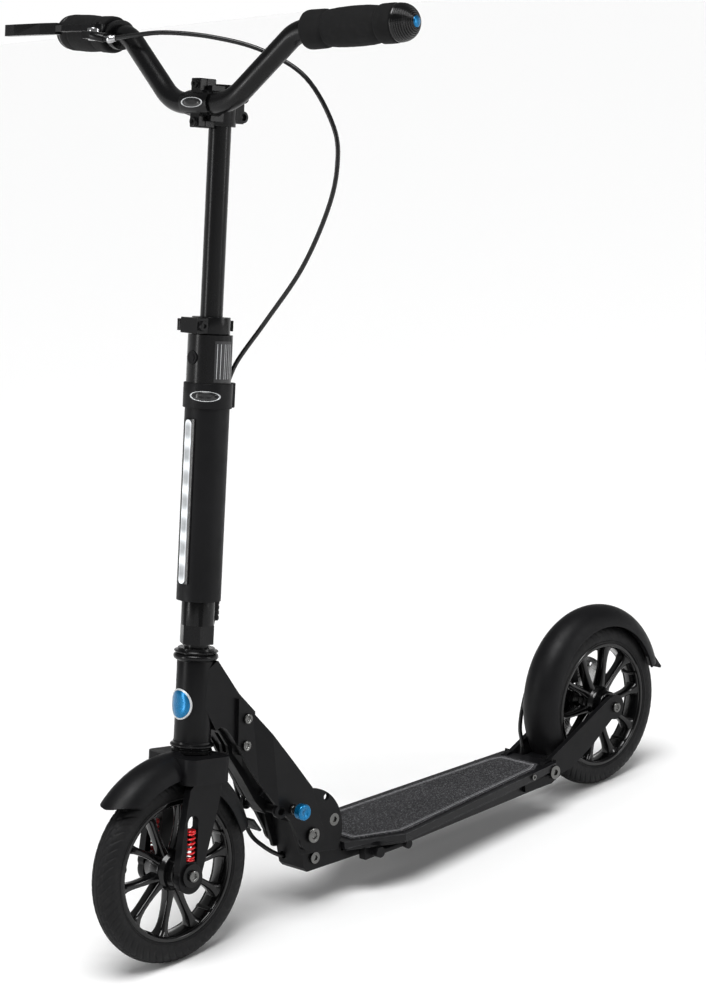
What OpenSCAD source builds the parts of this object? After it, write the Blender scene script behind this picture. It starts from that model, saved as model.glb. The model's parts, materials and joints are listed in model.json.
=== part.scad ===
// Folding kick scooter with 200 mm wheels, fork springs, a rear disc brake and a light strip in the column.
// The origin is the centre of the deck's top surface. +X is forward, +Y is the rider's left, +Z is up.

/* [Wheels and stance] */
// Tyre outer radius
wheel_r = 100; // [90:1:115]
// Distance between the wheel axles
wheelbase = 681; // [640:1:760]
// Height of the deck surface above the ground
deck_h = 66; // [60:1:80]
// Front axle distance ahead of the deck's centre
front_x = 385; // [360:1:420]
// Half width of a tyre
tyre_half_w = 15.2; // [13:0.1:18]
// Radius of the rim's open window
rim_in_r = 71; // [66:0.5:76]

/* [Steering column] */
// Steering axis angle back from vertical, degrees
rake = 9.9; // [6:0.1:14]
// Distance of the steering axis behind the front axle at axle height
steer_gap = 23; // [15:1:30]
// Height of the handlebar centre along the steering axis
bar_t = 792; // [700:1:820]
// Forward reach of the stem
stem_reach = 26; // [25:1:50]
// T-tube outer radius
t_tube_r = 11.7; // [11:0.1:14]
// How far the T-bar can be lowered
height_travel = 180; // [100:5:185]

/* [Handlebar] */
// Handlebar tube radius
bar_r = 11.1; // [10:0.1:12]
// Half width across the bar plugs
bar_half_w = 276; // [240:2:300]
// Grip radius
grip_r = 19.5; // [16:0.5:21]

/* [Deck] */
// Half width at the front of the deck
deck_front_half = 64; // [55:1:75]
// Half width at the rear of the deck
deck_rear_half = 42; // [40:1:60]

/* [Folding joint] */
// Radius of the cheek discs
cheek_r = 50; // [45:1:55]
// Fold angle of the column, degrees
fold_angle = 76; // [70:1:80]

/* [Hidden] */
$fn = 48;

axle_z = wheel_r - deck_h;
rear_x = front_x - wheelbase;
head_x = front_x - steer_gap;
axle_u = steer_gap * cos(rake);
axle_t = -steer_gap * sin(rake);

// rim flange: radius, and half the width
bead_r = wheel_r - 24;
rim_w = tyre_half_w - 1.7;

// the fold pivot, on the nose of the deck
pivot_x = 209;
pivot_z = 24;
// the lock pin sits in a notch on the rim of the cheek discs
lock_r = 45;
lock_angle = 55.7;
lock_x = pivot_x + lock_r * cos(lock_angle);
lock_z = pivot_z + lock_r * sin(lock_angle);

// bolts that hold the side arms to the head tube's gusset
arm_bolt_at = [[281.5, 175], [286.8, 146.4]];
// arc of the front mudguard's rear flap
flap_x = front_x + 8.5;
flap_z = axle_z + 6;
flap_r = 114.5;
// pivot of the release lever, in front of the cheek discs
lever_x = 250;
lever_z = 63;

// levels along the steering axis, from the lower headset ring up to the stem
t_crown = 118;
t_lower_ring = 118.4;
t_head = 131;
t_head_top = 217;
t_upper_ring = 230;
t_nut = 234;
t_sleeve = 254;
t_housing = 280;
t_collar = 481;
t_top = 507;
t_clamp = 557;
t_clamp_top = 575;
t_stem = 770;

steerer_r = 12.7;
head_r = 19.5;
column_r = 17;
housing_r = 23.3;

// the handlebar's corners in the column frame: forward, left, up the axis
bar_bend = [stem_reach, 44, bar_t];
bar_rise = [18.2, 130, 863];
bar_end = [-4.3, bar_half_w - 16, 870.8];

// the rear swing fork
swing_x = -170;
swing_z = -11;
rotor_y = -23.9;
caliper_x = rear_x + 25;
caliper_z = axle_z + 42;
caliper_arm_y = -36.5;

kick_x = 126;
kick_z = -18;
kick_len = 44;

// the routes of the brake cable, stretch by stretch
route_upper = [[47.8, -128.6, 856.5], [36, -103, 861], [18, -72, 865], [-8, -28, 862], [-35, 20, 850], [-60, 61, 824],
    [-76, 89, 775], [-79, 94, 735], [-75, 87, 690], [-63, 66, 630], [-46, 35, 575], [-33, 9, 533],
    [-28, 0.5, 511], [-22.5, 0, 495], [-19.8, 0, 484], [-19.8, 0, 470], [-19.8, 0, 440], [-19.8, 0, 380],
    [-19.8, 0, 282.6]];
route_lower = [[294, 0, 308.4], [294.4, 0, 296.3], [296, -1, 283.3], [297.5, -7, 268], [300, -14, 249.6],
    [291, -25, 228], [284, -29, 195], [272, -33, 150], [258, -37, 105], [250, -38, 60], [245, -32, 25],
    [236, -20, 8], [222, -13, -4], [212, -12, -6]];
route_rear = [[118, -18, -18], [40, -18, -18], [-50, -18, -18], [-115, -18, -19], [-148, -19, -19.5],
    [-166, -21, -20.5], [-178, -22.8, -15], [-184, -22.9, -4], [-187, -23.2, 9], [-190.5, -28, 25],
    [-199, -31, 45], [-216, -37, 66], [-234, -41.5, 87],
    [-246, -41.5, 102]];
cable_r = 2.4;

function unit(v) = v / norm(v);
function right(p) = [p[0], -p[1], p[2]];
function smooth_step(a, b, c, d, s) =
    0.5 * (2 * b + (c - a) * s + (2 * a - 5 * b + 4 * c - d) * s * s + (3 * b - a - 3 * c + d) * s * s * s);
// points on a smooth curve through the route's points, n of them to each stretch
function curve(p, n) = [
    for (i = [0 : len(p) - 2], j = [0 : n - 1])
        smooth_step(p[max(i - 1, 0)], p[i], p[i + 1], p[min(i + 2, len(p) - 1)], j / n),
    p[len(p) - 1]
];
function tangent(p, i) = unit(p[min(i + 1, len(p) - 1)] - p[max(i - 1, 0)]);
function ring_side(t) = unit(cross(t, abs(t[1]) > 0.8 ? [1, 0, 0] : [0, 1, 0]));
function ring(c, t, r, sides) = [
    for (k = [0 : sides - 1])
        c + r * (cos(360 * k / sides) * ring_side(t) + sin(360 * k / sides) * cross(t, ring_side(t)))
];

// a round tube swept along a list of points
module sweep(p, r, sides = 8) {
    rings = [for (i = [0 : len(p) - 1]) each ring(p[i], tangent(p, i), r, sides)];
    last = (len(p) - 1) * sides;
    sides_list = [
        for (i = [0 : len(p) - 2], k = [0 : sides - 1])
            [i * sides + k, i * sides + (k + 1) % sides, (i + 1) * sides + (k + 1) % sides, (i + 1) * sides + k]
    ];
    caps = [[for (k = [sides - 1 : -1 : 0]) k], [for (k = [0 : sides - 1]) last + k]];
    polyhedron(rings, concat(sides_list, caps), convexity = 4);
}

// places children in the column frame: x forward of the steering axis, y left, z up the axis
module column_frame() translate([head_x, 0, axle_z]) rotate([0, -rake, 0]) children();

// a cylinder along Y between two y values, at a point of the XZ plane
module y_cyl(x, z, y0, y1, r) translate([x, y0, z]) rotate([-90, 0, 0]) cylinder(r = r, h = y1 - y0);

// an outline in the XZ plane, made into a plate between two y values
module xz_plate(points, y0, y1) translate([0, y1, 0]) rotate([90, 0, 0]) linear_extrude(y1 - y0) polygon(points);

// a cylinder between two points
module rod(a, b, r) {
    d = b - a;
    translate(a)
        rotate([0, acos(d[2] / norm(d)), atan2(d[1], d[0])])
            cylinder(r = r, h = norm(d));
}

// a hexagon socket bolt head along +Z
module socket_head(r, h, key_r) {
    difference() {
        cylinder(r = r, h = h);
        translate([0, 0, h * 0.4]) cylinder(r = key_r, h = h, $fn = 6);
    }
}

// a bolt head facing out along +Y or -Y at a point of the XZ plane
module side_head(x, z, y, out, r, h) translate([x, y, z]) rotate([out > 0 ? -90 : 90, 0, 0]) socket_head(r, h, r * 0.5);

// ---- deck ----
function deck_plan(inset) = [
    [158.5 - inset, -26 + inset * 0.4], [100, -deck_front_half + inset], [-175 + inset, -deck_rear_half + inset],
    [-175 + inset, deck_rear_half - inset], [100, deck_front_half - inset], [158.5 - inset, 26 - inset * 0.4]
];

module deck_frame() color("dimgray") difference() {
    union() {
        translate([0, 0, -9]) linear_extrude(8) polygon(deck_plan(0));
        translate([0, 0, -12]) linear_extrude(3) polygon(deck_plan(3));
        translate([-150, -36, -26]) cube([267, 72, 15]);
    }
    // hollow channel of the extrusion, with two ribs
    for (y = [-33, -10.5, 12])
        translate([-151, y, -23.5]) cube([270, 21, 10]);
    // room for the rear fork's pivot bolt and round ends
    y_cyl(swing_x, swing_z, -50, 50, 5.3);
    for (y = [-34.6, 25.8])
        y_cyl(swing_x, swing_z, y, y + 8.8, 14.5);
    for (y = [-50, 41])
        y_cyl(swing_x, swing_z, y, y + 9, 8.4);
}

module grip_tape() color([0.25, 0.25, 0.26]) translate([0, 0, -1]) linear_extrude(1) polygon([
    [148, -26], [97, -57], [-142, -37.5], [-158, -28], [-158, 28], [-142, 37.5], [97, 57], [148, 26]
]);

module nose_block() color("black") difference() {
    xz_plate([[119, -25], [212, -20], [216, -15], [221, 38], [218, 44], [211, 44], [206, 8], [160, 7],
        [159.2, -12.3], [119, -12.3]], -20, 20);
    y_cyl(pivot_x, pivot_z, -21, 21, 6.1);
    // cable entry
    translate([205, -12, -5.5]) rotate([0, 90, 0]) cylinder(r = 4.4, h = 30);
    // weight relief between the side walls
    translate([166, -15, -16]) cube([36, 30, 30]);
}

module cheek(y0, y1) difference() {
    intersection() {
        y_cyl(pivot_x, pivot_z, y0, y1, cheek_r);
        xz_plate([[222, 4], [240, 80], [150, 80], [150, -9]], y0 - 1, y1 + 1);
    }
    y_cyl(pivot_x, pivot_z, y0 - 1, y1 + 1, 6.1);
    y_cyl(170, 29, y0 - 1, y1 + 1, 7.1);
    // rim notches of the lock: riding position and folded position
    for (a = [lock_angle, lock_angle + fold_angle])
        y_cyl(pivot_x + lock_r * cos(a), pivot_z + lock_r * sin(a), y0 - 1, y1 + 1, 3.9);
}

module cheek_left() color("black") cheek(20.2, 25.2);
module cheek_right() color("black") cheek(-25.2, -20.2);

module pivot_bolt() color("silver") {
    y_cyl(pivot_x, pivot_z, -30.6, 30.6, 6);
    side_head(pivot_x, pivot_z, 30.6, 1, 8.5, 4);
    side_head(pivot_x, pivot_z, -30.6, -1, 8.5, 4);
}

module frame_bolts() color("silver") {
    // cheek tie bolt, flush with the cheeks' outer faces
    y_cyl(170, 29, -22.3, 22.3, 3.9);
    for (side = [-1, 1]) {
        side_head(170, 29, side * 22.2, side, 7, 3);
        side_head(200, -7, side * 20, side, 6.5, 2.6);
        side_head(swing_x, swing_z, side * 41.3, side, 8, 3.5);
        side_head(-130, -5, side * 46.4, side, 3.5, 1.6);
    }
    // rear fork pivot bolt
    y_cyl(swing_x, swing_z, -41.3, 41.3, 5);
}

// ---- rear yoke and fender ----
module rear_yoke() color("black") difference() {
    union() {
        for (side = [-1, 1])
            xz_plate([[-120, -12.4], [-120, -22], [-165, -24], [-181, -19], [-184, -9], [-180, 0], [-176, 2],
                [-175.3, -0.8], [-175.3, -12.4]], side > 0 ? 36.3 : -41.2, side > 0 ? 41.2 : -36.3);
        translate([-165, -36.4, -26]) cube([14.7, 72.8, 13.6]);
    }
    y_cyl(swing_x, swing_z, -42, 42, 5.1);
    y_cyl(swing_x, swing_z, -36.3, 36.3, 14);
    translate([-170, -24, -24]) cube([24, 12, 9]);
}

module fender_section(arch_r) difference() {
    translate([arch_r - 25, 0]) circle(r = 25);
    translate([arch_r - 25, 0]) circle(r = 22.6);
    translate([arch_r - 60, -30]) square([36, 60]);
}

// part of a mudguard ring about an axis along Y, from one angle to another, measured from forward upward
module fender_arc(x, z, arch_r, a0, a1) translate([x, 0, z]) rotate([0, -a0, 0]) rotate([90, 0, 0])
    rotate_extrude(angle = a1 - a0) fender_section(arch_r);

// arc of the rear mudguard
guard_x = rear_x + 4.5;
guard_z = axle_z + 11;
guard_r = 112;

module rear_fender() color([0.12, 0.12, 0.13]) {
    fender_arc(guard_x, guard_z, guard_r, -26, 169);
    // block that screws it to the end of the deck
    translate([-192.6, -12, -9]) cube([17.2, 24, 7]);
    // turned-out tail
    translate([guard_x, 0, guard_z]) rotate([0, -169, 0]) translate([guard_r - 3.5, -12, -1.5]) rotate([0, 24, 0])
        cube([2.6, 24, 19]);
}

// ---- kickstand ----
module kick_bracket() color("black") difference() {
    union() {
        translate([118, 28, -25]) cube([22, 10, 12.8]);
        y_cyl(kick_x, kick_z, 28, 41.4, 6);
    }
    y_cyl(kick_x, kick_z, 38, 50, 3.6);
}

module kick_leg() color("black") {
    y_cyl(kick_x, kick_z, 38.5, 41.8, 3.5);
    y_cyl(kick_x, kick_z, 41.8, 49, 6);
    rod([kick_x, 45.4, kick_z], [kick_x - kick_len, 47, kick_z - 0.5], 3.6);
    rod([kick_x - kick_len + 5, 43, kick_z - 0.5], [kick_x - kick_len + 5, 54, kick_z - 1.5], 5);
}

module kick_spring() color("silver") rod([kick_x - 11, 39, kick_z - 3], [kick_x - 30, 39, kick_z - 3], 2.5);

// ---- rear swing fork ----
module swing_arm(y0, y1) difference() {
    union() {
        xz_plate([[swing_x - 4, swing_z + 12.5], [rear_x + 8, axle_z + 14], [rear_x - 8, axle_z + 10],
            [rear_x + 6, axle_z - 12], [-250, -2], [swing_x - 40, -19], [swing_x - 6, swing_z - 11]], y0, y1);
        y_cyl(swing_x, swing_z, y0, y1, 12.5);
        y_cyl(rear_x, axle_z, y0, y1, 15);
    }
    y_cyl(swing_x, swing_z, y0 - 1, y1 + 1, 5.06);
    y_cyl(rear_x, axle_z, y0 - 1, y1 + 1, 5.05);
    // forged pocket
    xz_plate([[-192, -8], [-262, 20], [-258, 8], [-206, -12]], y0 - 1, y0 + (y1 - y0) * 0.5);
}

module swing_arm_left() color("black") swing_arm(27, 33.4);
module swing_arm_right() color("black") mirror([0, 1, 0]) swing_arm(27, 33.4);

// an axle bolt with a head at each end and a spacer on each side of the hub
module axle(x, z, spacer_h, head_y) {
    y_cyl(x, z, -head_y, head_y, 5);
    for (side = [-1, 1])
        side_head(x, z, side * head_y, side, 6.2, 3.2);
    y_cyl(x, z, 23.4, 23.4 + spacer_h, 8.5);
    y_cyl(x, z, -23.4 - spacer_h, -23.4, 8.5);
}

module rear_axle() color("silver") axle(rear_x, axle_z, 3.4, 33.5);

// ---- wheels, built about the origin with the axle along Y ----
module spoke(a) rotate([0, a, 0]) xz_plate([[12, -4.2], [34, -3.2], [56, -2.6], [72, -4.2], [72, 4.2], [56, 2.6],
    [34, 3.2], [12, 4.2]], -7, 7);

module rim() difference() {
    union() {
        rotate([90, 0, 0]) rotate_extrude() polygon([[rim_in_r, -rim_w + 1.5], [rim_in_r + 1, -rim_w],
            [bead_r - 1, -rim_w], [bead_r, -rim_w + 1.2], [bead_r - 2.2, -rim_w + 2.8],
            [bead_r - 2.2, rim_w - 2.8], [bead_r, rim_w - 1.2], [bead_r - 1, rim_w], [rim_in_r + 1, rim_w],
            [rim_in_r, rim_w - 1.5]]);
        for (k = [0 : 4])
            for (s = [-1, 1])
                rotate([0, 72 * k + 90, 0]) translate([0, 0, 5 * s]) spoke(-s * 9);
        y_cyl(0, 0, -23, 23, 17);
        y_cyl(0, 0, -8, 8, 23);
    }
    y_cyl(0, 0, -24, 24, 11.1);
    y_cyl(0, 0, -30, 30, 8);
}

module tyre() rotate([90, 0, 0]) rotate_extrude($fn = 64) difference() {
    union() {
        translate([wheel_r - tyre_half_w, 0]) circle(r = tyre_half_w);
        polygon([[bead_r - 1, -rim_w + 1.4], [bead_r + 0.3, -rim_w - 0.2], [wheel_r - tyre_half_w, -tyre_half_w],
            [wheel_r - tyre_half_w, tyre_half_w], [bead_r + 0.3, rim_w + 0.2], [bead_r - 1, rim_w - 1.4]]);
    }
    polygon([[60, -20], [bead_r + 0.1, -20], [bead_r + 0.1, -rim_w + 1.3], [bead_r - 1.9, -rim_w + 3],
        [bead_r - 1.9, rim_w - 3], [bead_r + 0.1, rim_w - 1.3], [bead_r + 0.1, 20], [60, 20]]);
}

module bearings() for (y = [-22.8, 15.8]) difference() {
    y_cyl(0, 0, y, y + 7, 11.05);
    y_cyl(0, 0, y - 1, y + 8, 5.05);
}

module rear_rim() color([0.1, 0.1, 0.1]) translate([rear_x, 0, axle_z]) rim();
module rear_tyre() color([0.05, 0.05, 0.05]) translate([rear_x, 0, axle_z]) tyre();
module rear_bearings() color("silver") translate([rear_x, 0, axle_z]) bearings();

module rotor() color("lightgray") translate([rear_x, 0, axle_z]) difference() {
    y_cyl(0, 0, rotor_y - 0.9, rotor_y + 0.85, 54);
    y_cyl(0, 0, -30, -20, 14);
    for (k = [0 : 5])
        rotate([0, 60 * k, 0]) y_cyl(27, 0, -30, -20, 8);
    for (k = [0 : 17])
        rotate([0, 20 * k, 0]) y_cyl(k % 2 == 0 ? 46 : 41.5, 0, -30, -20, 2.6);
}

module caliper() color("black") difference() {
    union() {
        translate([caliper_x - 15, -33.4, caliper_z - 15]) cube([30, 17.4, 32]);
        // foot on the outside of the rear fork
        translate([caliper_x - 15.5, -37.4, caliper_z - 44]) cube([24, 3.9, 34.5]);
        translate([caliper_x - 15, -37.4, caliper_z - 15]) cube([23.5, 8, 5.5]);
    }
    // the disc runs in this slot
    translate([rear_x - 60, rotor_y - 1.6, axle_z - 60]) cube([120, 3.2, 116]);
}

module caliper_arm() color("black") {
    y_cyl(caliper_x, caliper_z, caliper_arm_y - 3.6, caliper_arm_y + 2.8, 8);
    xz_plate([[caliper_x - 5, caliper_z + 6], [caliper_x + 19, caliper_z + 24], [caliper_x + 25, caliper_z + 19],
        [caliper_x + 5, caliper_z - 6]], caliper_arm_y - 2, caliper_arm_y + 1.5);
}

// ---- folding arm ----
module head_frame() color("black") difference() {
    union() {
        column_frame() translate([0, 0, t_head]) cylinder(r = head_r, h = t_head_top - t_head);
        xz_plate([[311, 246], [286, 203], [266, 178], [270, 130], [284, 132], [294, 147], [303, 163], [309, 171],
            [315, 174], [322, 172], [334, 200], [324, 240]], -19.5, 19.5);
    }
    column_frame() {
        translate([0, 0, t_head - 1]) cylinder(r = 15, h = t_head_top - t_head + 2);
        translate([0, 0, t_head_top]) cylinder(r = 24.2, h = 40);
        translate([0, 0, t_head - 30]) cylinder(r = 24.2, h = 30);
    }
    for (p = arm_bolt_at)
        y_cyl(p[0], p[1], -21, 21, 4.1);
    // slot for the release lever
    xz_plate([[291.5, 125], [291.5, 150], [297, 168], [306, 177], [316, 174], [322, 125]], -7.6, 7.6);
}

module arm_plate() intersection() {
    difference() {
        union() {
            xz_plate([[297, 149], [290, 199], [284, 196], [225, 110], [203, 77], [194, 34], [209, 6], [222, 12],
                [238, 48], [256, 72], [284.5, 121.5]], 0, 40);
            y_cyl(pivot_x, pivot_z, 0, 40, 18);
            y_cyl(lever_x, lever_z, 0, 40, 8);
        }
        y_cyl(pivot_x, pivot_z, -1, 41, 6.06);
        y_cyl(lock_x, lock_z, -1, 41, 3.7);
        y_cyl(lever_x, lever_z, -1, 41, 4.56);
        for (p = arm_bolt_at)
            y_cyl(p[0], p[1], -1, 41, 4.1);
    }
    // the strip seen from above: wide at the pivot, bent in to the head tube
    translate([0, 0, -20]) linear_extrude(240) polygon([[180, 25.6], [252, 25.6], [272, 19.7], [310, 19.7],
        [310, 23.7], [273, 23.7], [253, 30.2], [180, 30.2]]);
}

module arm_left() color("black") arm_plate();
module arm_right() color("black") mirror([0, 1, 0]) arm_plate();

module arm_bolts() color("silver") for (p = arm_bolt_at) {
    y_cyl(p[0], p[1], -23.8, 23.8, 4);
    for (side = [-1, 1])
        side_head(p[0], p[1], side * 23.8, side, 5.6, 3.4);
}

module lock_knob() color([0.1, 0.55, 0.75]) {
    y_cyl(lock_x, lock_z, 25.5, 42, 3.6);
    y_cyl(lock_x, lock_z, 30.7, 35, 5.6);
    y_cyl(lock_x, lock_z, 42, 51, 9);
}

module fold_lever() color("black") difference() {
    union() {
        xz_plate([[308, 166], [304, 169], [299, 165], [292.3, 149], [291.8, 136], [276, 112], [260, 80], [246, 68],
            [246, 58], [256, 60], [266, 74], [281, 104], [297, 134], [297.5, 146]], -7, 7);
        y_cyl(lever_x, lever_z, -25.3, 25.3, 4.5);
        y_cyl(lever_x, lever_z, -7, 7, 7);
    }
    translate([285, -3, 138]) cube([30, 6, 24]);
}

module headset_cups() color("black") column_frame() {
    for (s = [[t_lower_ring, t_head, 22.8], [t_head_top, t_upper_ring, 23.6]]) difference() {
        union() {
            translate([0, 0, s[0]]) cylinder(r = s[2] - 1.6, h = s[1] - s[0]);
            translate([0, 0, s[0] + 2]) cylinder(r = s[2], h = 3.4);
            translate([0, 0, s[1] - 5.4]) cylinder(r = s[2], h = 3.4);
        }
        translate([0, 0, s[0] - 1]) cylinder(r = steerer_r + 0.06, h = s[1] - s[0] + 2);
    }
}

// ---- steering column ----
module steerer() color("gray") column_frame() difference() {
    translate([0, 0, 107.2]) cylinder(r = steerer_r, h = 192);
    translate([0, 0, 120]) cylinder(r = 10.5, h = 200);
}

module lock_nut() color("black") column_frame() difference() {
    union() {
        translate([0, 0, t_nut]) cylinder(r = 18.6, h = t_sleeve - t_nut, $fn = 6);
        translate([0, 0, t_sleeve]) cylinder(r = 17.4, h = t_housing - t_sleeve - 0.1);
    }
    translate([0, 0, t_nut - 1]) cylinder(r = steerer_r + 0.02, h = 50);
}

module column_tube() color([0.13, 0.13, 0.14]) column_frame() difference() {
    union() {
        translate([0, 0, t_housing]) cylinder(r = column_r, h = t_collar - t_housing);
        translate([0, 0, t_collar]) cylinder(r = housing_r, h = t_clamp - t_collar - 0.2);
        translate([0, 0, t_clamp - 1]) cylinder(r = 15, h = t_clamp_top - t_clamp - 2);
    }
    translate([0, 0, t_housing - 1]) cylinder(r = steerer_r + 0.06, h = 21);
    translate([0, 0, t_housing + 19]) cylinder(r = 13.2, h = t_clamp - t_housing - 30);
    translate([0, 0, t_clamp - 12]) cylinder(r = t_tube_r + 0.08, h = 40);
    // button hole
    translate([0, 0, 533]) rotate([0, 90, 0]) cylinder(r = 7.2, h = 30);
    // cable groove
    translate([-20.4, 0, t_collar - 1]) cylinder(r = 3.3, h = t_top - t_collar + 2);
    translate([-27, -3.3, t_collar - 1]) cube([6.6, 6.6, t_top - t_collar + 2]);
    // clamping slit
    translate([-30, -1, t_clamp - 8]) cube([25, 2, 60]);
}

module light_housing() color([0.14, 0.14, 0.15]) column_frame() {
    difference() {
        translate([0, 0, t_housing]) cylinder(r = housing_r, h = t_collar - t_housing - 0.1);
        translate([0, 0, t_housing + 6]) cylinder(r = 20.5, h = t_collar - t_housing - 12);
        translate([0, 0, t_housing - 1]) cylinder(r = column_r + 0.05, h = 300);
        translate([-19.8, 0, t_housing - 1]) cylinder(r = 2.7, h = 300);
        // light window
        translate([15, -8.2, 298]) cube([12, 16.4, 172]);
    }
    // ribbed cable guide at the foot of the housing
    for (z = [258 : 5.5 : 276]) translate([-22.5, 0, z]) difference() {
        cylinder(r = 5.2, h = 3.2);
        translate([0, 0, -1]) cylinder(r = 3.6, h = 6);
        translate([3.4, -6, -1]) cube([6, 12, 6]);
        translate([0, -2.9, -1]) cube([6, 5.8, 6]);
    }
    difference() {
        translate([-22.5, 0, 257]) cylinder(r = 4.6, h = t_housing - 256.9);
        translate([-22.5, 0, 250]) cylinder(r = 3.6, h = 50);
        translate([-19.1, -6, 250]) cube([6, 12, 50]);
        translate([-22.5, -2.9, 250]) cube([6, 5.8, 50]);
    }
}

module led_lens() color("white") column_frame() intersection() {
    translate([0, 0, 298.2]) cylinder(r = 25.2, h = 171.6);
    translate([19.2, -8, 298.2]) cube([8, 16, 171.6]);
}

module led_board() color("green") column_frame() translate([17.6, -6, 300]) cube([1.3, 12, 168]);

module collar() color([0.13, 0.13, 0.14]) column_frame() difference() {
    union() {
        translate([0, 0, t_collar]) cylinder(r = 25.6, h = t_top - t_collar);
        translate([-33, -5.5, t_collar]) cube([14, 11, t_top - t_collar]);
    }
    translate([0, 0, t_collar - 1]) cylinder(r = housing_r + 0.05, h = 40);
    // the cable comes in through the boss at the back
    translate([-31, -3.1, t_collar - 1]) cube([14, 6.2, 40]);
}

module push_button() color("black") column_frame() {
    translate([15.6, 0, 533]) rotate([0, 90, 0]) cylinder(r = 6.9, h = 8.6);
    translate([24, 0, 533]) rotate([0, 90, 0]) cylinder(r = 4, h = 0.8);
}

module height_clamp() color("black") column_frame() difference() {
    union() {
        translate([0, 0, t_clamp]) cylinder(r = 20, h = t_clamp_top - t_clamp);
        translate([14, -13, t_clamp + 1]) cube([16, 26, t_clamp_top - t_clamp - 2]);
        // bolt with its head on the left
        translate([23, -12.8, t_clamp + 9]) rotate([-90, 0, 0]) cylinder(r = 2.5, h = 28);
        translate([23, 13, t_clamp + 9]) rotate([-90, 0, 0]) socket_head(5.2, 4, 2.4);
    }
    translate([0, 0, t_clamp - 1]) cylinder(r = 15.05, h = t_clamp_top - t_clamp - 2);
    translate([0, 0, t_clamp + 10]) cylinder(r = t_tube_r + 0.4, h = 20);
    translate([10, -1.2, t_clamp - 1]) cube([10.5, 2.4, 30]);
}

// the quick release lever: closed it wraps round the right side of the column
module clamp_lever() color("black") column_frame() {
    translate([23, -18.6, t_clamp + 3]) cylinder(r = 5.2, h = 12);
    translate([0, 0, t_clamp + 3.5]) rotate([0, 0, -185]) rotate_extrude(angle = 143)
        translate([24.5, 0]) square([4.2, 11]);
}

// ---- fork ----
module leg_outline() {
    polygon([[-15, 108], [20, 108], [23.4, 91], [28.2, 86], [29, 82], [34.6, 43], [39, 0], [34, -14], [10, -14], [6, 2],
        [2.9, 13], [-8, 53], [-14, 78]]);
    translate([axle_u - 0.2, axle_t - 4]) circle(r = 16);
}

module leg(y0, y1) translate([0, y1, 0]) rotate([90, 0, 0]) linear_extrude(y1 - y0) difference() {
    leg_outline();
    // the slot in which the slider and its spring run
    translate([axle_u - 7.2, -16]) square([14.4, 68]);
    translate([axle_u, 52]) circle(r = 7.2);
}

module fork() color("black") column_frame() {
    leg(24.4, 34);
    leg(-34, -24.4);
    difference() {
        translate([-21, -26, 107]) cube([50, 52, t_crown - 110]);
        translate([-14.5, -34, 107]) cube([34.5, 68, t_crown - 110]);
        translate([0, 0, 100]) cylinder(r = steerer_r + 0.02, h = 20);
    }
}

module rounded_box(w, d, r) {
    square([w, d - 2 * r], center = true);
    square([w - 2 * r, d], center = true);
    for (x = [-1, 1], y = [-1, 1])
        translate([x * (w / 2 - r), y * (d / 2 - r)]) circle(r = r);
}

module crown_cover() color([0.1, 0.1, 0.11]) {
    column_frame() difference() {
        translate([3.5, 0, 91]) linear_extrude(t_crown - 91) rounded_box(58, 74, 10);
        translate([3.5, 0, 60]) linear_extrude(t_crown - 62.7) rounded_box(52.6, 68.6, 7.5);
        translate([0, 0, 60]) cylinder(r = steerer_r + 0.4, h = 80);
        translate([-40, -22, 60]) cube([80, 44, 38.5]);
        translate([-22.7, -22, 60]) cube([62, 44, 46.5]);
    }
    // rear flap of the mudguard, kept clear of the fork legs
    difference() {
        union() {
            fender_arc(flap_x, flap_z, flap_r, 124, 171);
            translate([flap_x, 0, flap_z]) rotate([0, -170, 0]) translate([flap_r - 2.6, -21, -1]) rotate([0, 22, 0])
                cube([2.4, 42, 17]);
        }
        for (y = [-44, 24.1])
            column_frame() translate([-17.5, y, 0]) cube([60, 19.9, 130]);
    }
}

module front_fender() color([0.12, 0.12, 0.13]) difference() {
    fender_arc(front_x - 7, axle_z, 124, 46, 98);
    // it ends at the front of the crown cover
    column_frame() translate([-40, -40, 60]) cube([72.7, 80, 90]);
}

module sliders() color([0.2, 0.2, 0.2]) column_frame() for (side = [-1, 1]) difference() {
    union() {
        translate([axle_u - 6.9, side > 0 ? 24.6 : -33.8, -15.6]) cube([13.8, 9.2, 25.4]);
        y_cyl(axle_u, axle_t, side > 0 ? 34.3 : -37, side > 0 ? 37 : -34.3, 12.6);
        y_cyl(axle_u, axle_t, side > 0 ? 33 : -35, side > 0 ? 35 : -33, 6.8);
    }
    y_cyl(axle_u, axle_t, -40, 40, 5.05);
}

module fork_springs() color("red") column_frame() for (side = [-1, 1])
    translate([axle_u, side * 29.6, 10.2]) cylinder(r = 6.2, h = 34);

module front_axle() color("silver") axle(front_x, axle_z, 0.9, 37.1);

module front_rim() color([0.1, 0.1, 0.1]) translate([front_x, 0, axle_z]) rim();
module front_tyre() color([0.05, 0.05, 0.05]) translate([front_x, 0, axle_z]) tyre();
module front_bearings() color("silver") translate([front_x, 0, axle_z]) bearings();

// ---- T-bar ----
module t_tube() color([0.1, 0.1, 0.1]) column_frame() difference() {
    translate([0, 0, 485]) cylinder(r = t_tube_r, h = 320);
    translate([0, 0, 484]) cylinder(r = 9.7, h = 300);
}

// outline of the bar clamp seen from the front, between two distances forward
module clamp_face(u0, u1) translate([0, 0, bar_t]) rotate([90, 0, 90]) translate([0, 0, u0]) linear_extrude(u1 - u0)
    polygon([[-7, 24], [-6, 24.8], [6, 24.8], [7, 24], [7, 16.5], [21, 9], [21, -9], [7, -16.5], [7, -24], [6, -24.8],
        [-6, -24.8], [-7, -24], [-7, -16.5], [-21, -9], [-21, 9], [-7, 16.5]]);

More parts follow.
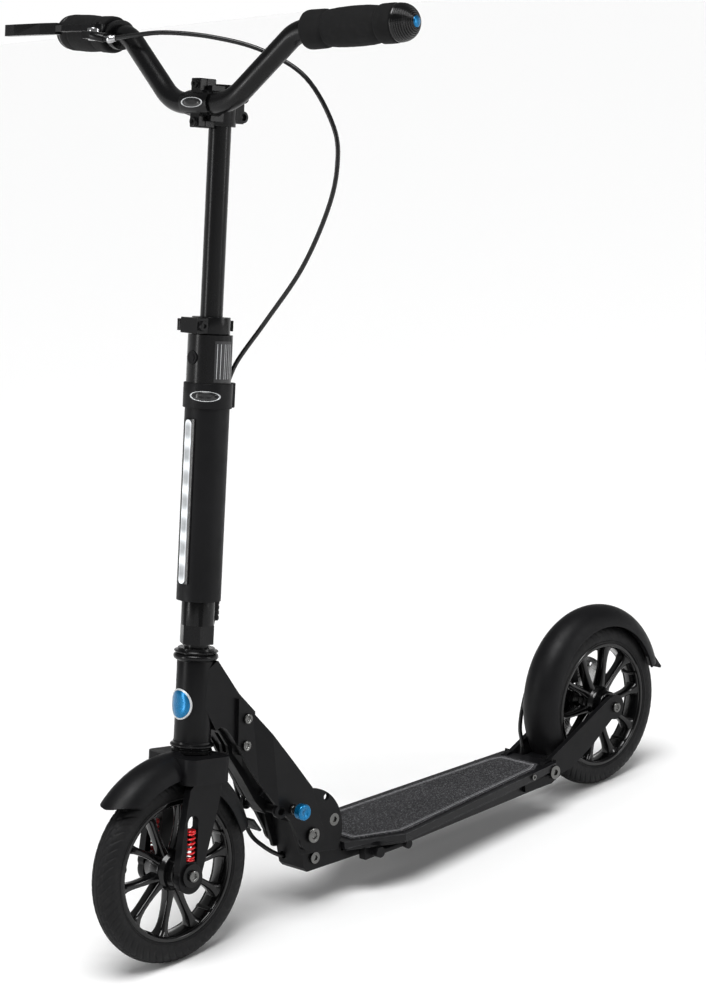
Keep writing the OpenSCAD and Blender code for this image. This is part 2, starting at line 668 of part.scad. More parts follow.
module stem() color([0.1, 0.1, 0.1]) column_frame() difference() {
    union() {
        translate([0, 0, t_stem]) cylinder(r = 16, h = 42);
        // pinch lugs behind the tube
        translate([-24, -9, t_stem + 4]) cube([16, 18, 34]);
        y_cyl(-24, t_stem + 11, -9, 9, 6);
        y_cyl(-24, t_stem + 31, -9, 9, 6);
        translate([0, -14, t_stem + 4]) cube([stem_reach - 1, 28, 36]);
        clamp_face(stem_reach - 12, stem_reach - 0.3);
    }
    translate([0, 0, t_stem - 1]) cylinder(r = t_tube_r + 0.02, h = 60);
    y_cyl(stem_reach, bar_t, -30, 30, bar_r + 0.02);
    translate([-34, -1, t_stem - 1]) cube([24, 2, 60]);
    // pinch bolt recesses
    for (t = [11, 31])
        y_cyl(-24, t_stem + t, 6, 10, 3.6);
}

module faceplate() color([0.1, 0.1, 0.1]) column_frame() {
    difference() {
        intersection() {
            union() {
                y_cyl(stem_reach, bar_t, -21, 21, 13.7);
                translate([stem_reach, -7, bar_t - 25]) cube([9, 14, 50]);
            }
            clamp_face(stem_reach + 0.3, stem_reach + 20);
        }
        y_cyl(stem_reach, bar_t, -30, 30, bar_r + 0.02);
    }
    for (s = [-1, 1])
        translate([stem_reach + 8.9, 0, bar_t + 19 * s]) rotate([0, 90, 0]) socket_head(4.4, 3, 2.2);
}

// points round a bend of the bar: n steps from one straight to the next
function bend(a, corner, b, trim, n) = [
    for (i = [0 : n])
        let (s = i / n, p = corner + unit(a - corner) * trim, q = corner + unit(b - corner) * trim)
            p * (1 - s) * (1 - s) + corner * 2 * s * (1 - s) + q * s * s
];
half_bar = concat(bend([stem_reach, 0, bar_t], bar_bend, bar_rise, 22, 8),
    bend(bar_bend, bar_rise, bar_end, 13, 6), [bar_end]);

module handlebar() color([0.08, 0.08, 0.08]) column_frame()
    sweep(concat([for (i = [len(half_bar) - 1 : -1 : 0]) right(half_bar[i])], half_bar), bar_r, 24);

grip_dir = unit(bar_end - bar_rise);

// places children with +Z out along the left grip, from a distance past the handlebar's last bend
module on_grip(s) translate(bar_rise + grip_dir * s)
    rotate([0, acos(grip_dir[2]), atan2(grip_dir[1], grip_dir[0])]) children();

module grip(s0, s1) difference() {
    union() {
        on_grip(s0) cylinder(r = grip_r - 1.2, h = s1 - s0);
        on_grip(s0) cylinder(r = grip_r + 0.4, h = 9);
        on_grip(s0 + 32) cylinder(r = grip_r + 0.3, h = s1 - s0 - 54);
        on_grip(s1 - 16) cylinder(r = grip_r + 0.8, h = 16);
    }
    on_grip(s0 - 5) cylinder(r = bar_r + 0.02, h = s1 - s0 + 10);
}

module grip_left() color([0.1, 0.1, 0.1]) column_frame() grip(14, 122);
module grip_right() color([0.1, 0.1, 0.1]) column_frame() mirror([0, 1, 0]) grip(32, 122);

module bar_plug() on_grip(122.1) rotate_extrude()
    polygon([[0, 0], [18.6, 0], [18.6, 6], [16.6, 13], [12.5, 20], [8, 24], [0, 24]]);

// the bar's end stops at the plug's foot
module bar_plugs() color([0.1, 0.1, 0.1]) column_frame() difference() {
    union() {
        bar_plug();
        mirror([0, 1, 0]) bar_plug();
    }
    for (side = [0, 1])
        mirror([0, side, 0]) on_grip(100) cylinder(r = bar_r + 0.03, h = norm(bar_end - bar_rise) - 99.9);
}

module brake_bracket() color([0.1, 0.1, 0.1]) column_frame() mirror([0, 1, 0]) difference() {
    union() {
        on_grip(16) cylinder(r = 15.5, h = 14);
        translate([20, 143, 857]) cube([38, 18, 7.3]);
        // barrel adjuster
        translate([57, 146, 860]) rotate([100, 0, -28]) cylinder(r = 4.4, h = 15);
        translate([57, 146, 860]) rotate([100, 0, -28]) cylinder(r = 3.2, h = 19.3);
        // lever pivot
        translate([44, 152, 858]) cylinder(r = 2.5, h = 17);
    }
    on_grip(10) cylinder(r = bar_r + 0.02, h = 40);
}

module brake_lever() color([0.1, 0.1, 0.1]) column_frame() mirror([0, 1, 0]) difference() {
    union() {
        translate([44, 152, 864.6]) cylinder(r = 8, h = 8);
        translate([0, 0, 865.5]) linear_extrude(6.5) polygon([[37, 150], [36, 158], [44, 200], [47, 214], [52, 214],
            [55, 200], [53, 160], [51, 148]]);
        translate([0, 0, 863]) linear_extrude(12) polygon([[45, 212], [43.5, 240], [41.5, 290], [41, 308], [43, 312],
            [46, 312], [48.5, 308], [50, 290], [53, 240], [52, 214]]);
    }
    translate([44, 152, 860]) cylinder(r = 2.6, h = 20);
}

// ---- brake cable ----
module cable_upper() color("black") column_frame() sweep(curve(route_upper, 4), cable_r);
module cable_lower() color("black") sweep(curve(route_lower, 4), cable_r);
module cable_rear() color("black") sweep(curve(route_rear, 4), cable_r);

deck_frame();
grip_tape();
nose_block();
cheek_left();
cheek_right();
pivot_bolt();
frame_bolts();
rear_yoke();
rear_fender();
cable_rear();
kick_bracket();
kick_leg();
kick_spring();
swing_arm_left();
swing_arm_right();
rear_axle();
rear_rim();
rear_tyre();
rear_bearings();
rotor();
caliper();
caliper_arm();
head_frame();
arm_left();
arm_right();
arm_bolts();
lock_knob();
fold_lever();
headset_cups();
steerer();
lock_nut();
light_housing();
led_lens();
led_board();
column_tube();
collar();
push_button();
height_clamp();
clamp_lever();
fork();
crown_cover();
sliders();
fork_springs();
front_axle();
front_rim();
front_tyre();
front_bearings();
front_fender();
t_tube();
stem();
faceplate();
handlebar();
grip_left();
grip_right();
bar_plugs();
brake_bracket();
brake_lever();
cable_upper();
cable_lower();
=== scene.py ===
"""Looks for the folding kick scooter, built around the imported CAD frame."""

import json
import math

import bmesh
import bpy
from mathutils import Matrix, Vector, noise


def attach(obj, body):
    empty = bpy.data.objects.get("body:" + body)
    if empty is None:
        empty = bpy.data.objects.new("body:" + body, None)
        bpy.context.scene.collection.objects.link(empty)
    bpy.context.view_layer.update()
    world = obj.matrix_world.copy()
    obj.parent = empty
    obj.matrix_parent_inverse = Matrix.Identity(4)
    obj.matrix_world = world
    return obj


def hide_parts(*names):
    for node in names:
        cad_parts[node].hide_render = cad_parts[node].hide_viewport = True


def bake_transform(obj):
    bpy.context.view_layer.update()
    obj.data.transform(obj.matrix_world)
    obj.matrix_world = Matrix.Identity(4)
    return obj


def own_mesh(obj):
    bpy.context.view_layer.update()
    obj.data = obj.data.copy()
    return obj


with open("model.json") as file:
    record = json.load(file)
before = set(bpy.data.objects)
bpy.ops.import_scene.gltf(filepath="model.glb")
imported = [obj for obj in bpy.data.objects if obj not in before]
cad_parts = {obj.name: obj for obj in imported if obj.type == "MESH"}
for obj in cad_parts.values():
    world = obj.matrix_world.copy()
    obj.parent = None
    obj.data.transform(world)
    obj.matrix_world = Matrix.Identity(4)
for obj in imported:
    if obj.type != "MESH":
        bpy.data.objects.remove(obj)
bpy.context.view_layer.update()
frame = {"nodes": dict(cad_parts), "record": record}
NODES = frame["nodes"]

MM = 0.001
TURN = 2 * math.pi
X = Vector((1, 0, 0))
Y = Vector((0, 1, 0))
Z = Vector((0, 0, 1))

# the steering column's frame: forward u, left y, up the axis t
RAKE = math.radians(9.9)
HEAD = Vector((0.362, 0, 0.034))
FWD = Vector((math.cos(RAKE), 0, math.sin(RAKE)))
AXIS = Vector((-math.sin(RAKE), 0, math.cos(RAKE)))
FRONT_AXLE = Vector((0.385, 0, 0.034))
REAR_AXLE = Vector((-0.296, 0, 0.034))


def col(u, y, t):
    """A point given in millimetres in the column frame."""
    return HEAD + FWD * (u * MM) + Y * (y * MM) + AXIS * (t * MM)


def mm(x, y, z):
    """A point given in millimetres in the part's own frame."""
    return Vector((x * MM, y * MM, z * MM))


def link_object(name, data):
    obj = bpy.data.objects.new(name, data)
    bpy.context.scene.collection.objects.link(obj)
    return obj


# ---------------------------------------------------------------- camera, light and floor

CAMERA_AZIMUTH = math.radians(136.76)
CAMERA_ELEVATION = math.radians(12.65)
CAMERA_ROLL = math.radians(-4.28)
CAMERA_TARGET = Vector((0.07713, 0, 0.3675))
CAMERA_DISTANCE = 2.87625
CAMERA_LENS = 93.67
FLOOR_Z = -0.0662
FLOOR_SIZE = 40


def make_camera():
    level = math.cos(CAMERA_ELEVATION)
    back = Vector((math.sin(CAMERA_AZIMUTH) * level, -math.cos(CAMERA_AZIMUTH) * level,
                   math.sin(CAMERA_ELEVATION)))
    right = (-back).cross(Z).normalized()
    up = right.cross(-back)
    cos_roll = math.cos(CAMERA_ROLL)
    sin_roll = math.sin(CAMERA_ROLL)
    right, up = right * cos_roll + up * sin_roll, up * cos_roll - right * sin_roll
    data = bpy.data.cameras.new("camera")
    data.sensor_width = 36
    data.lens = CAMERA_LENS
    data.shift_x = -0.0036
    data.shift_y = -0.0029
    data.clip_end = 30
    camera = link_object("camera", data)
    place = CAMERA_TARGET + back * CAMERA_DISTANCE
    camera.matrix_world = Matrix((
        (right.x, up.x, back.x, place.x),
        (right.y, up.y, back.y, place.y),
        (right.z, up.z, back.z, place.z),
        (0, 0, 0, 1)))
    bpy.context.scene.camera = camera


def make_world():
    """White at the horizon and dimmer above, so that dark finishes stay dark."""
    world = bpy.data.worlds.new("studio")
    world.use_nodes = True
    tree = world.node_tree
    background = tree.nodes["Background"]
    background.inputs[0].default_value = (1, 1, 1, 1)
    direction = tree.nodes.new("ShaderNodeTexCoord")
    parts = tree.nodes.new("ShaderNodeSeparateXYZ")
    fade = tree.nodes.new("ShaderNodeMapRange")
    for name, number in (("From Min", 0.06), ("From Max", 0.2), ("To Min", 1.0), ("To Max", 0.28)):
        fade.inputs[name].default_value = number
    tree.links.new(direction.outputs["Generated"], parts.inputs[0])
    tree.links.new(parts.outputs[2], fade.inputs["Value"])
    tree.links.new(fade.outputs["Result"], background.inputs[1])
    bpy.context.scene.world = world
    bpy.context.scene.view_settings.view_transform = "Standard"
    bpy.context.scene.view_settings.gamma = 0.84


def area_light(name, place, aim, width, height, power):
    data = bpy.data.lights.new(name, "AREA")
    data.shape = "RECTANGLE"
    data.size = width
    data.size_y = height
    data.energy = power
    lamp = link_object(name, data)
    lamp.location = place
    lamp.rotation_euler = (Vector(aim) - Vector(place)).to_track_quat("-Z", "Y").to_euler()


def make_lights():
    sun = bpy.data.lights.new("overhead", "SUN")
    sun.energy = 2.85
    sun.angle = math.radians(36)
    lamp = link_object("overhead", sun)
    lamp.rotation_euler = (math.radians(-14), math.radians(16), 0)
    area_light("side", place=(-1.6, 2.6, 1.3), aim=(0, 0, 0.35), width=0.35, height=1.8, power=20)
    area_light("rim", place=(2.9, -0.9, 1.0), aim=(0.2, 0, 0.4), width=0.4, height=1.9, power=20)


def make_floor():
    bpy.ops.mesh.primitive_plane_add(size=FLOOR_SIZE, location=(0, 0, FLOOR_Z))
    floor = bpy.context.object
    floor.name = "floor"
    material = bpy.data.materials.new("floor")
    material.use_nodes = True
    shader = material.node_tree.nodes["Principled BSDF"]
    shader.inputs["Base Color"].default_value = (0.9, 0.9, 0.9, 1)
    shader.inputs["Roughness"].default_value = 0.75
    floor.data.materials.append(material)


# ---------------------------------------------------------------- materials

class Nodes:
    """Short names for adding and joining shader nodes."""

    def __init__(self, name):
        self.material = bpy.data.materials.new(name)
        self.material.use_nodes = True
        self.tree = self.material.node_tree
        self.shader = self.tree.nodes["Principled BSDF"]
        self.place = self.add("ShaderNodeTexCoord").outputs["Object"]

    def add(self, kind, **settings):
        node = self.tree.nodes.new(kind)
        for name, value in settings.items():
            setattr(node, name, value)
        return node

    def link(self, a, b):
        self.tree.links.new(a, b)

    def scaled(self, scale):
        node = self.add("ShaderNodeMapping")
        node.inputs["Scale"].default_value = scale
        self.link(self.place, node.inputs["Vector"])
        return node.outputs["Vector"]

    def noise(self, scale, detail=4, rough=0.55, vector=None):
        node = self.add("ShaderNodeTexNoise")
        node.inputs["Scale"].default_value = scale
        node.inputs["Detail"].default_value = detail
        node.inputs["Roughness"].default_value = rough
        self.link(vector if vector is not None else self.place, node.inputs["Vector"])
        return node.outputs["Fac"]

    def ramp(self, value, stops):
        node = self.add("ShaderNodeValToRGB")
        ramp = node.color_ramp
        while len(ramp.elements) < len(stops):
            ramp.elements.new(0.5)
        for element, (place, colour) in zip(ramp.elements, stops):
            element.position = place
            element.color = (*colour, 1)
        self.link(value, node.inputs["Fac"])
        return node.outputs["Color"]

    def fit(self, value, lo, hi, to_lo, to_hi):
        node = self.add("ShaderNodeMapRange")
        for name, number in (("From Min", lo), ("From Max", hi), ("To Min", to_lo), ("To Max", to_hi)):
            node.inputs[name].default_value = number
        self.link(value, node.inputs["Value"])
        return node.outputs["Result"]

    def math(self, operation, a, b=None):
        node = self.add("ShaderNodeMath", operation=operation)
        for socket, value in zip(node.inputs, (a, b)):
            if value is None:
                continue
            if isinstance(value, (int, float)):
                socket.default_value = value
            else:
                self.link(value, socket)
        return node.outputs[0]

    def mix(self, factor, a, b):
        node = self.add("ShaderNodeMix", data_type="RGBA")
        self.link(factor, node.inputs[0])
        for socket, value in ((node.inputs[6], a), (node.inputs[7], b)):
            if isinstance(value, tuple):
                socket.default_value = (*value, 1)
            else:
                self.link(value, socket)
        return node.outputs[2]

    def bump(self, height, strength, distance):
        node = self.add("ShaderNodeBump")
        node.inputs["Strength"].default_value = strength
        node.inputs["Distance"].default_value = distance
        self.link(height, node.inputs["Height"])
        return node.outputs["Normal"]

    def edges(self, radius):
        """1 along sharp edges, 0 on flat faces."""
        bevel = self.add("ShaderNodeBevel", samples=4)
        bevel.inputs["Radius"].default_value = radius
        geometry = self.add("ShaderNodeNewGeometry")
        dot = self.add("ShaderNodeVectorMath", operation="DOT_PRODUCT")
        self.link(bevel.outputs[0], dot.inputs[0])
        self.link(geometry.outputs["Normal"], dot.inputs[1])
        return self.fit(dot.outputs["Value"], 0.995, 0.88, 0, 1)


def finish_material(n, colour, rough, normal, metallic=0.0, coat=0.0, coat_rough=0.1, specular=0.5):
    s = n.shader
    n.link(colour, s.inputs["Base Color"])
    n.link(rough, s.inputs["Roughness"])
    n.link(normal, s.inputs["Normal"])
    s.inputs["Metallic"].default_value = metallic
    s.inputs["Coat Weight"].default_value = coat
    s.inputs["Coat Roughness"].default_value = coat_rough
    s.inputs["Specular IOR Level"].default_value = specular
    return n.material


def scaled_colour(colour, factor):
    return tuple(min(1.0, value * factor) for value in colour)


def surface(name, base, rough, metallic=0.0, grain=900, grain_depth=0.00004, blotch=22, vary=0.25,
            rough_vary=0.08, coat=0.0, coat_rough=0.12, wear=0.0, wear_colour=(0.3, 0.3, 0.3), specular=0.5,
            dust=0.0):
    """Blotches of tone, a fine grain in the bump, wear along the edges and specks of dust."""
    n = Nodes(name)
    tone = n.noise(blotch, 5, 0.6)
    colour = n.ramp(tone, [(0.3, scaled_colour(base, 1 - vary)), (0.7, scaled_colour(base, 1 + vary))])
    fine = n.noise(grain, 3, 0.6)
    rough_out = n.fit(n.noise(blotch * 3.1, 4, 0.6), 0.3, 0.7, rough - rough_vary, rough + rough_vary)
    if wear > 0:
        edge = n.math("MULTIPLY", n.edges(0.0012), n.fit(n.noise(140, 4, 0.7), 0.45, 0.62, 0, wear))
        colour = n.mix(edge, colour, wear_colour)
    if dust > 0:
        speck = n.fit(n.noise(420, 2, 0.8), 0.62, 0.75, 0, dust)
        colour = n.mix(speck, colour, (0.32, 0.31, 0.29))
    normal = n.bump(fine, 0.6, grain_depth)
    return finish_material(n, colour, rough_out, normal, metallic, coat, coat_rough, specular)


def grit_material():
    """Grip tape: hard dark grains in a matt binder; some grains carry a painted glint, a pale grey put into
    their base colour.
    """
    n = Nodes("grip_grit")
    cells = n.add("ShaderNodeTexVoronoi")
    cells.inputs["Scale"].default_value = 1050
    n.link(n.place, cells.inputs["Vector"])
    grain = cells.outputs["Color"]
    separate = n.add("ShaderNodeSeparateColor")
    n.link(grain, separate.inputs[0])
    tone = n.noise(16, 4, 0.6)
    base = n.ramp(tone, [(0.3, (0.016, 0.016, 0.018)), (0.7, (0.03, 0.03, 0.033))])
    # painted glint: the grains picked here get a pale grey base colour that stands in for glints
    painted_glint = n.fit(separate.outputs[0], 0.72, 1.0, 0, 0.9)
    colour = n.mix(painted_glint, base, (0.2, 0.2, 0.21))
    rough = n.fit(separate.outputs[1], 0, 1, 0.55, 0.95)
    height = n.math("ADD", n.fit(cells.outputs["Distance"], 0, 0.7, 1, 0), n.noise(300, 3, 0.6))
    return finish_material(n, colour, rough, n.bump(height, 0.9, 0.0005))


def brushed_material(name, base, rough, centre=None):
    """Bare metal: turned rings about an axis along Y where centre is given, or else fine brushing."""
    n = Nodes(name)
    if centre is None:
        streak = n.noise(1, 3, 0.6, n.scaled((160, 2200, 160)))
    else:
        parts = n.add("ShaderNodeSeparateXYZ")
        n.link(n.place, parts.inputs[0])
        dx = n.math("SUBTRACT", parts.outputs[0], centre.x)
        dz = n.math("SUBTRACT", parts.outputs[2], centre.z)
        radius = n.math("SQRT", n.math("ADD", n.math("MULTIPLY", dx, dx), n.math("MULTIPLY", dz, dz)))
        ring = n.add("ShaderNodeTexNoise", noise_dimensions="1D")
        ring.inputs["Scale"].default_value = 2600
        ring.inputs["Detail"].default_value = 3
        n.link(radius, ring.inputs["W"])
        streak = ring.outputs["Fac"]
    tone = n.noise(40, 4, 0.6)
    colour = n.mix(n.fit(tone, 0.35, 0.65, 0, 1), scaled_colour(base, 0.8), base)
    rough_out = n.fit(streak, 0.3, 0.7, rough - 0.09, rough + 0.09)
    return finish_material(n, colour, rough_out, n.bump(streak, 0.25, 0.00006), 1.0)


def extrusion_material():
    """Anodised deck extrusion: drawn lines along X, and wear on the edges."""
    n = Nodes("deck_extrusion")
    drawn = n.noise(1, 4, 0.6, n.scaled((6, 1500, 1500)))
    tone = n.noise(9, 4, 0.6)
    colour = n.ramp(tone, [(0.3, (0.006, 0.006, 0.007)), (0.7, (0.012, 0.012, 0.0135))])
    edge = n.math("MULTIPLY", n.edges(0.001), n.fit(n.noise(110, 4, 0.7), 0.42, 0.6, 0.1, 0.55))
    colour = n.mix(edge, colour, (0.2, 0.2, 0.21))
    rough = n.fit(drawn, 0.3, 0.7, 0.26, 0.44)
    return finish_material(n, colour, rough, n.bump(drawn, 0.35, 0.00006), specular=0.4)


def rubber_material(name, base, rough, pimple, depth, dust):
    n = Nodes(name)
    cells = n.add("ShaderNodeTexVoronoi")
    cells.inputs["Scale"].default_value = pimple
    n.link(n.place, cells.inputs["Vector"])
    tone = n.noise(30, 5, 0.65)
    colour = n.ramp(tone, [(0.3, scaled_colour(base, 0.75)), (0.72, scaled_colour(base, 1.35))])
    film = n.fit(n.noise(95, 4, 0.75), 0.5, 0.8, 0, dust)
    colour = n.mix(film, colour, (0.12, 0.115, 0.11))
    rough_out = n.fit(n.noise(60, 4, 0.6), 0.3, 0.7, rough - 0.08, rough + 0.08)
    height = n.math("ADD", cells.outputs["Distance"], n.noise(pimple * 2.3, 3, 0.6))
    return finish_material(n, colour, rough_out, n.bump(height, 0.5, depth), specular=0.35)


def led_material():
    """A milky cover whose middle line glows, brighter over each of the sources behind it."""
    source_pitch = 0.0245
    middle = HEAD.dot(AXIS) + 0.3835
    half_length = 0.0805
    half_width = 0.0042
    n = Nodes("led_cover")
    parts = n.add("ShaderNodeSeparateXYZ")
    n.link(n.place, parts.inputs[0])
    x, y, z = parts.outputs
    along = n.math("ADD", n.math("MULTIPLY", x, AXIS.x), n.math("MULTIPLY", z, AXIS.z))
    wave = n.math("COSINE", n.math("MULTIPLY", along, TURN / source_pitch))
    spots = n.math("POWER", n.fit(wave, -1, 1, 0, 1), 2.0)
    beyond = n.math("SUBTRACT", n.math("ABSOLUTE", n.math("SUBTRACT", along, middle)), half_length)
    over = n.math("MAXIMUM", beyond, 0.0)
    reach = n.math("SQRT", n.math("ADD", n.math("MULTIPLY", over, over), n.math("MULTIPLY", y, y)))
    line = n.fit(reach, half_width, 0.0054, 1, 0)
    rim = n.math("MULTIPLY", line, n.fit(reach, 0.0030, half_width, 0, 1))
    glow = n.math("ADD", n.fit(spots, 0, 1, 0.1, 0.75), n.math("MULTIPLY", rim, 0.35))
    strength = n.math("MULTIPLY", glow, line)
    milk = n.mix(n.fit(n.noise(200, 2), 0.3, 0.7, 0, 1), (0.3, 0.31, 0.32), (0.38, 0.39, 0.4))
    colour = n.mix(line, (0.012, 0.012, 0.013), milk)
    n.shader.inputs["Emission Color"].default_value = (0.93, 0.97, 1.0, 1)
    n.link(strength, n.shader.inputs["Emission Strength"])
    rough = n.fit(n.noise(500, 2), 0.3, 0.7, 0.18, 0.28)
    return finish_material(n, colour, rough, n.bump(n.noise(900, 2), 0.3, 0.00003))


def board_material():
    n = Nodes("led_circuit")
    pads = n.add("ShaderNodeTexBrick")
    pads.inputs["Scale"].default_value = 90
    n.link(n.place, pads.inputs["Vector"])
    colour = n.mix(pads.outputs["Fac"], (0.02, 0.14, 0.06), (0.5, 0.42, 0.2))
    rough = n.fit(n.noise(80), 0.3, 0.7, 0.3, 0.5)
    return finish_material(n, colour, rough, n.bump(pads.outputs["Fac"], 0.4, 0.0001))


def make_materials():
    worn_black = (0.12, 0.12, 0.12)
    return {
        "black_paint": surface(
            "satin_black_paint", (0.006, 0.006, 0.0068), 0.4, grain=1300, grain_depth=0.00005, blotch=18,
            vary=0.3, rough_vary=0.07, coat=0.04, coat_rough=0.25, wear=0.25, wear_colour=worn_black,
            specular=0.24),
        "black_anodised": surface(
            "black_anodised", (0.004, 0.004, 0.0045), 0.26, grain=1600, grain_depth=0.00003, blotch=14,
            vary=0.28, rough_vary=0.05, coat=0.05, coat_rough=0.2, wear=0.15, wear_colour=worn_black,
            specular=0.34),
        "steel": brushed_material("zinc_steel", (0.2, 0.2, 0.195), 0.22),
        "barrel": brushed_material("bright_alloy", (0.55, 0.55, 0.56), 0.2),
        "rotor": brushed_material("turned_disc", (0.6, 0.6, 0.6), 0.24, REAR_AXLE),
        "bare_alu": brushed_material("machined_aluminium", (0.5, 0.5, 0.51), 0.33),
        "extrusion": extrusion_material(),
        "grip_paper": grit_material(),
        "tape_line": surface(
            "tape_line", (0.3, 0.3, 0.31), 0.6, grain=1400, grain_depth=0.0003, blotch=200, vary=0.4,
            rough_vary=0.15),
        "black_plastic": surface(
            "grained_black_plastic", (0.0065, 0.0065, 0.0075), 0.45, grain=1900, grain_depth=0.00014,
            blotch=25, rough_vary=0.07, wear=0.1, wear_colour=(0.07, 0.07, 0.07), specular=0.26),
        "gloss_black": surface(
            "gloss_black", (0.003, 0.003, 0.0034), 0.2, grain=700, grain_depth=0.00002, blotch=20,
            rough_vary=0.05, coat=0.35, coat_rough=0.08, specular=0.42, dust=0.01),
        "tyre": rubber_material("tyre_rubber", (0.0075, 0.0075, 0.0082), 0.58, 1500, 0.0001, 0.1),
        "grip_foam": rubber_material("foam_grip", (0.009, 0.009, 0.0095), 0.8, 1700, 0.0003, 0.06),
        "rubber": rubber_material("moulded_rubber", (0.007, 0.007, 0.0075), 0.5, 2200, 0.00006, 0.1),
        "cable": surface(
            "cable_sheath", (0.005, 0.005, 0.0055), 0.3, blotch=30, rough_vary=0.06, coat=0.3,
            coat_rough=0.2),
        "blue": surface(
            "blue_anodised", (0.0, 0.17, 0.36), 0.26, metallic=0.6, grain=1500, grain_depth=0.00003,
            blotch=30, vary=0.15, rough_vary=0.05, coat=0.4, coat_rough=0.15, wear=0.25,
            wear_colour=(0.5, 0.6, 0.7)),
        "red": surface(
            "red_spring_paint", (0.62, 0.01, 0.015), 0.28, metallic=0.1, grain_depth=0.00003, blotch=40,
            vary=0.18, rough_vary=0.05, coat=0.7, coat_rough=0.1),
        "badge": surface(
            "badge_print", (0.55, 0.56, 0.57), 0.35, metallic=0.3, grain=1500, grain_depth=0.00003, blotch=60,
            vary=0.12, rough_vary=0.06, coat=0.5, coat_rough=0.1),
        "badge_dark": surface(
            "badge_ground", (0.012, 0.012, 0.013), 0.3, grain_depth=0.00002, blotch=60, vary=0.2,
            rough_vary=0.05, coat=0.6, coat_rough=0.08),
        "label": surface(
            "label_film", (0.028, 0.028, 0.03), 0.42, grain_depth=0.00003, blotch=60, vary=0.2,
            rough_vary=0.05, coat=0.4, coat_rough=0.2),
        "led": led_material(),
        "board": board_material(),
    }


# ---------------------------------------------------------------- mesh helpers

def add_mesh(name, verts, faces, material, body=None, slot=None, replaces=(), smooth=True):
    mesh = bpy.data.meshes.new(name)
    mesh.from_pydata([tuple(v) for v in verts], [], faces)
    bm = bmesh.new()
    bm.from_mesh(mesh)
    bmesh.ops.remove_doubles(bm, verts=bm.verts, dist=1e-6)
    bmesh.ops.recalc_face_normals(bm, faces=bm.faces)
    bm.to_mesh(mesh)
    bm.free()
    for polygon in mesh.polygons:
        polygon.use_smooth = smooth
    obj = link_object(name, mesh)
    mesh.materials.append(LOOKS[material])
    if body:
        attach(obj, body)
    if replaces:
        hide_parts(*replaces)
    return obj


def sharpen(obj, degrees=35):
    """Keeps edges steeper than this sharp in the shading."""
    limit = math.radians(degrees)
    bm = bmesh.new()
    bm.from_mesh(obj.data)
    for edge in bm.edges:
        edge.smooth = not (edge.is_manifold and edge.calc_face_angle(0) > limit)
    bm.to_mesh(obj.data)
    bm.free()
    return obj


def join_parts(parts):
    """One vertex and face list from several."""
    verts, faces = [], []
    for v, f in parts:
        start = len(verts)
        verts += v
        faces += [tuple(i + start for i in face) for face in f]
    return verts, faces


def basis(direction):
    w = direction.normalized()
    side = Z if abs(w.z) < 0.8 else X
    u = side.cross(w).normalized()
    return u, w.cross(u), w


def lathe(profile, place, direction, segments=96, bump=None, closed=False):
    """A turned shape: profile is (distance along, radius) in millimetres.

    bump(angle, along, radius) adds to the radius, and closed joins the profile's last point to its first.
    """
    u, v, w = basis(direction)
    verts, faces = [], []
    for along, radius in profile:
        for k in range(segments):
            a = TURN * k / segments
            r = (radius + (bump(a, along, radius) if bump else 0)) * MM
            verts.append(place + w * (along * MM) + u * (r * math.cos(a)) + v * (r * math.sin(a)))
    rows = len(profile)
    for i in range(rows if closed else rows - 1):
        for k in range(segments):
            j, m = (i + 1) % rows, (k + 1) % segments
            faces.append((i * segments + k, i * segments + m, j * segments + m, j * segments + k))
    if not closed:
        if profile[0][1] > 0.02:
            faces.append(tuple(range(segments - 1, -1, -1)))
        if profile[-1][1] > 0.02:
            faces.append(tuple((rows - 1) * segments + k for k in range(segments)))
    return verts, faces


def sweep(points, radius, sides=16):
    """A capped tube of circles along points, with no twist."""
    verts, faces = [], []
    tangents = []
    for i in range(len(points)):
        a, b = points[max(i - 1, 0)], points[min(i + 1, len(points) - 1)]
        tangents.append((b - a).normalized())
    u = basis(tangents[0])[0]
    for p, t in zip(points, tangents):
        u = (u - t * u.dot(t)).normalized()
        v = t.cross(u)
        for k in range(sides):
            a = TURN * k / sides
            verts.append(p + u * (radius * math.cos(a)) + v * (radius * math.sin(a)))
    for i in range(len(points) - 1):
        for k in range(sides):
            m = (k + 1) % sides
            faces.append((i * sides + k, i * sides + m, (i + 1) * sides + m, (i + 1) * sides + k))
    faces.append(tuple(range(sides - 1, -1, -1)))
    faces.append(tuple((len(points) - 1) * sides + k for k in range(sides)))
    return verts, faces


def curve_points(p, n):
    """Points on a smooth curve through p, n to each stretch: the same rule as the part's source."""
    out = []
    for i in range(len(p) - 1):
        a, b, c, d = p[max(i - 1, 0)], p[i], p[i + 1], p[min(i + 2, len(p) - 1)]
        for j in range(n):
            s = j / n
            out.append(0.5 * (2 * b + (c - a) * s + (2 * a - 5 * b + 4 * c - d) * s * s
                              + (3 * b - a - 3 * c + d) * s ** 3))
    out.append(p[-1])
    return out


def helix(start, direction, length, radius, wire, turns, closed_ends=True):
    """The tube of a coil spring, with its end turns closed up where closed_ends is true."""
    steps, sides = 28, 10
    end_turns, end_pitch = 1.2, wire * 1.05
    u, v, w = basis(direction)
    count = int(turns * steps)
    points = []
    for i in range(count + 1):
        s = i / count
        if closed_ends:
            edge = end_turns / turns
            if s < edge:
                z = end_pitch * (s * turns)
            elif s > 1 - edge:
                z = length - wire * 2 - end_pitch * ((1 - s) * turns)
            else:
                lo, hi = end_pitch * end_turns, length - wire * 2 - end_pitch * end_turns
                z = lo + (hi - lo) * (s - edge) / (1 - 2 * edge)
            z += wire
        else:
            z = length * s
        a = TURN * turns * s
        points.append(start + w * z + (u * math.cos(a) + v * math.sin(a)) * (radius - wire))
    return sweep(points, wire, sides)

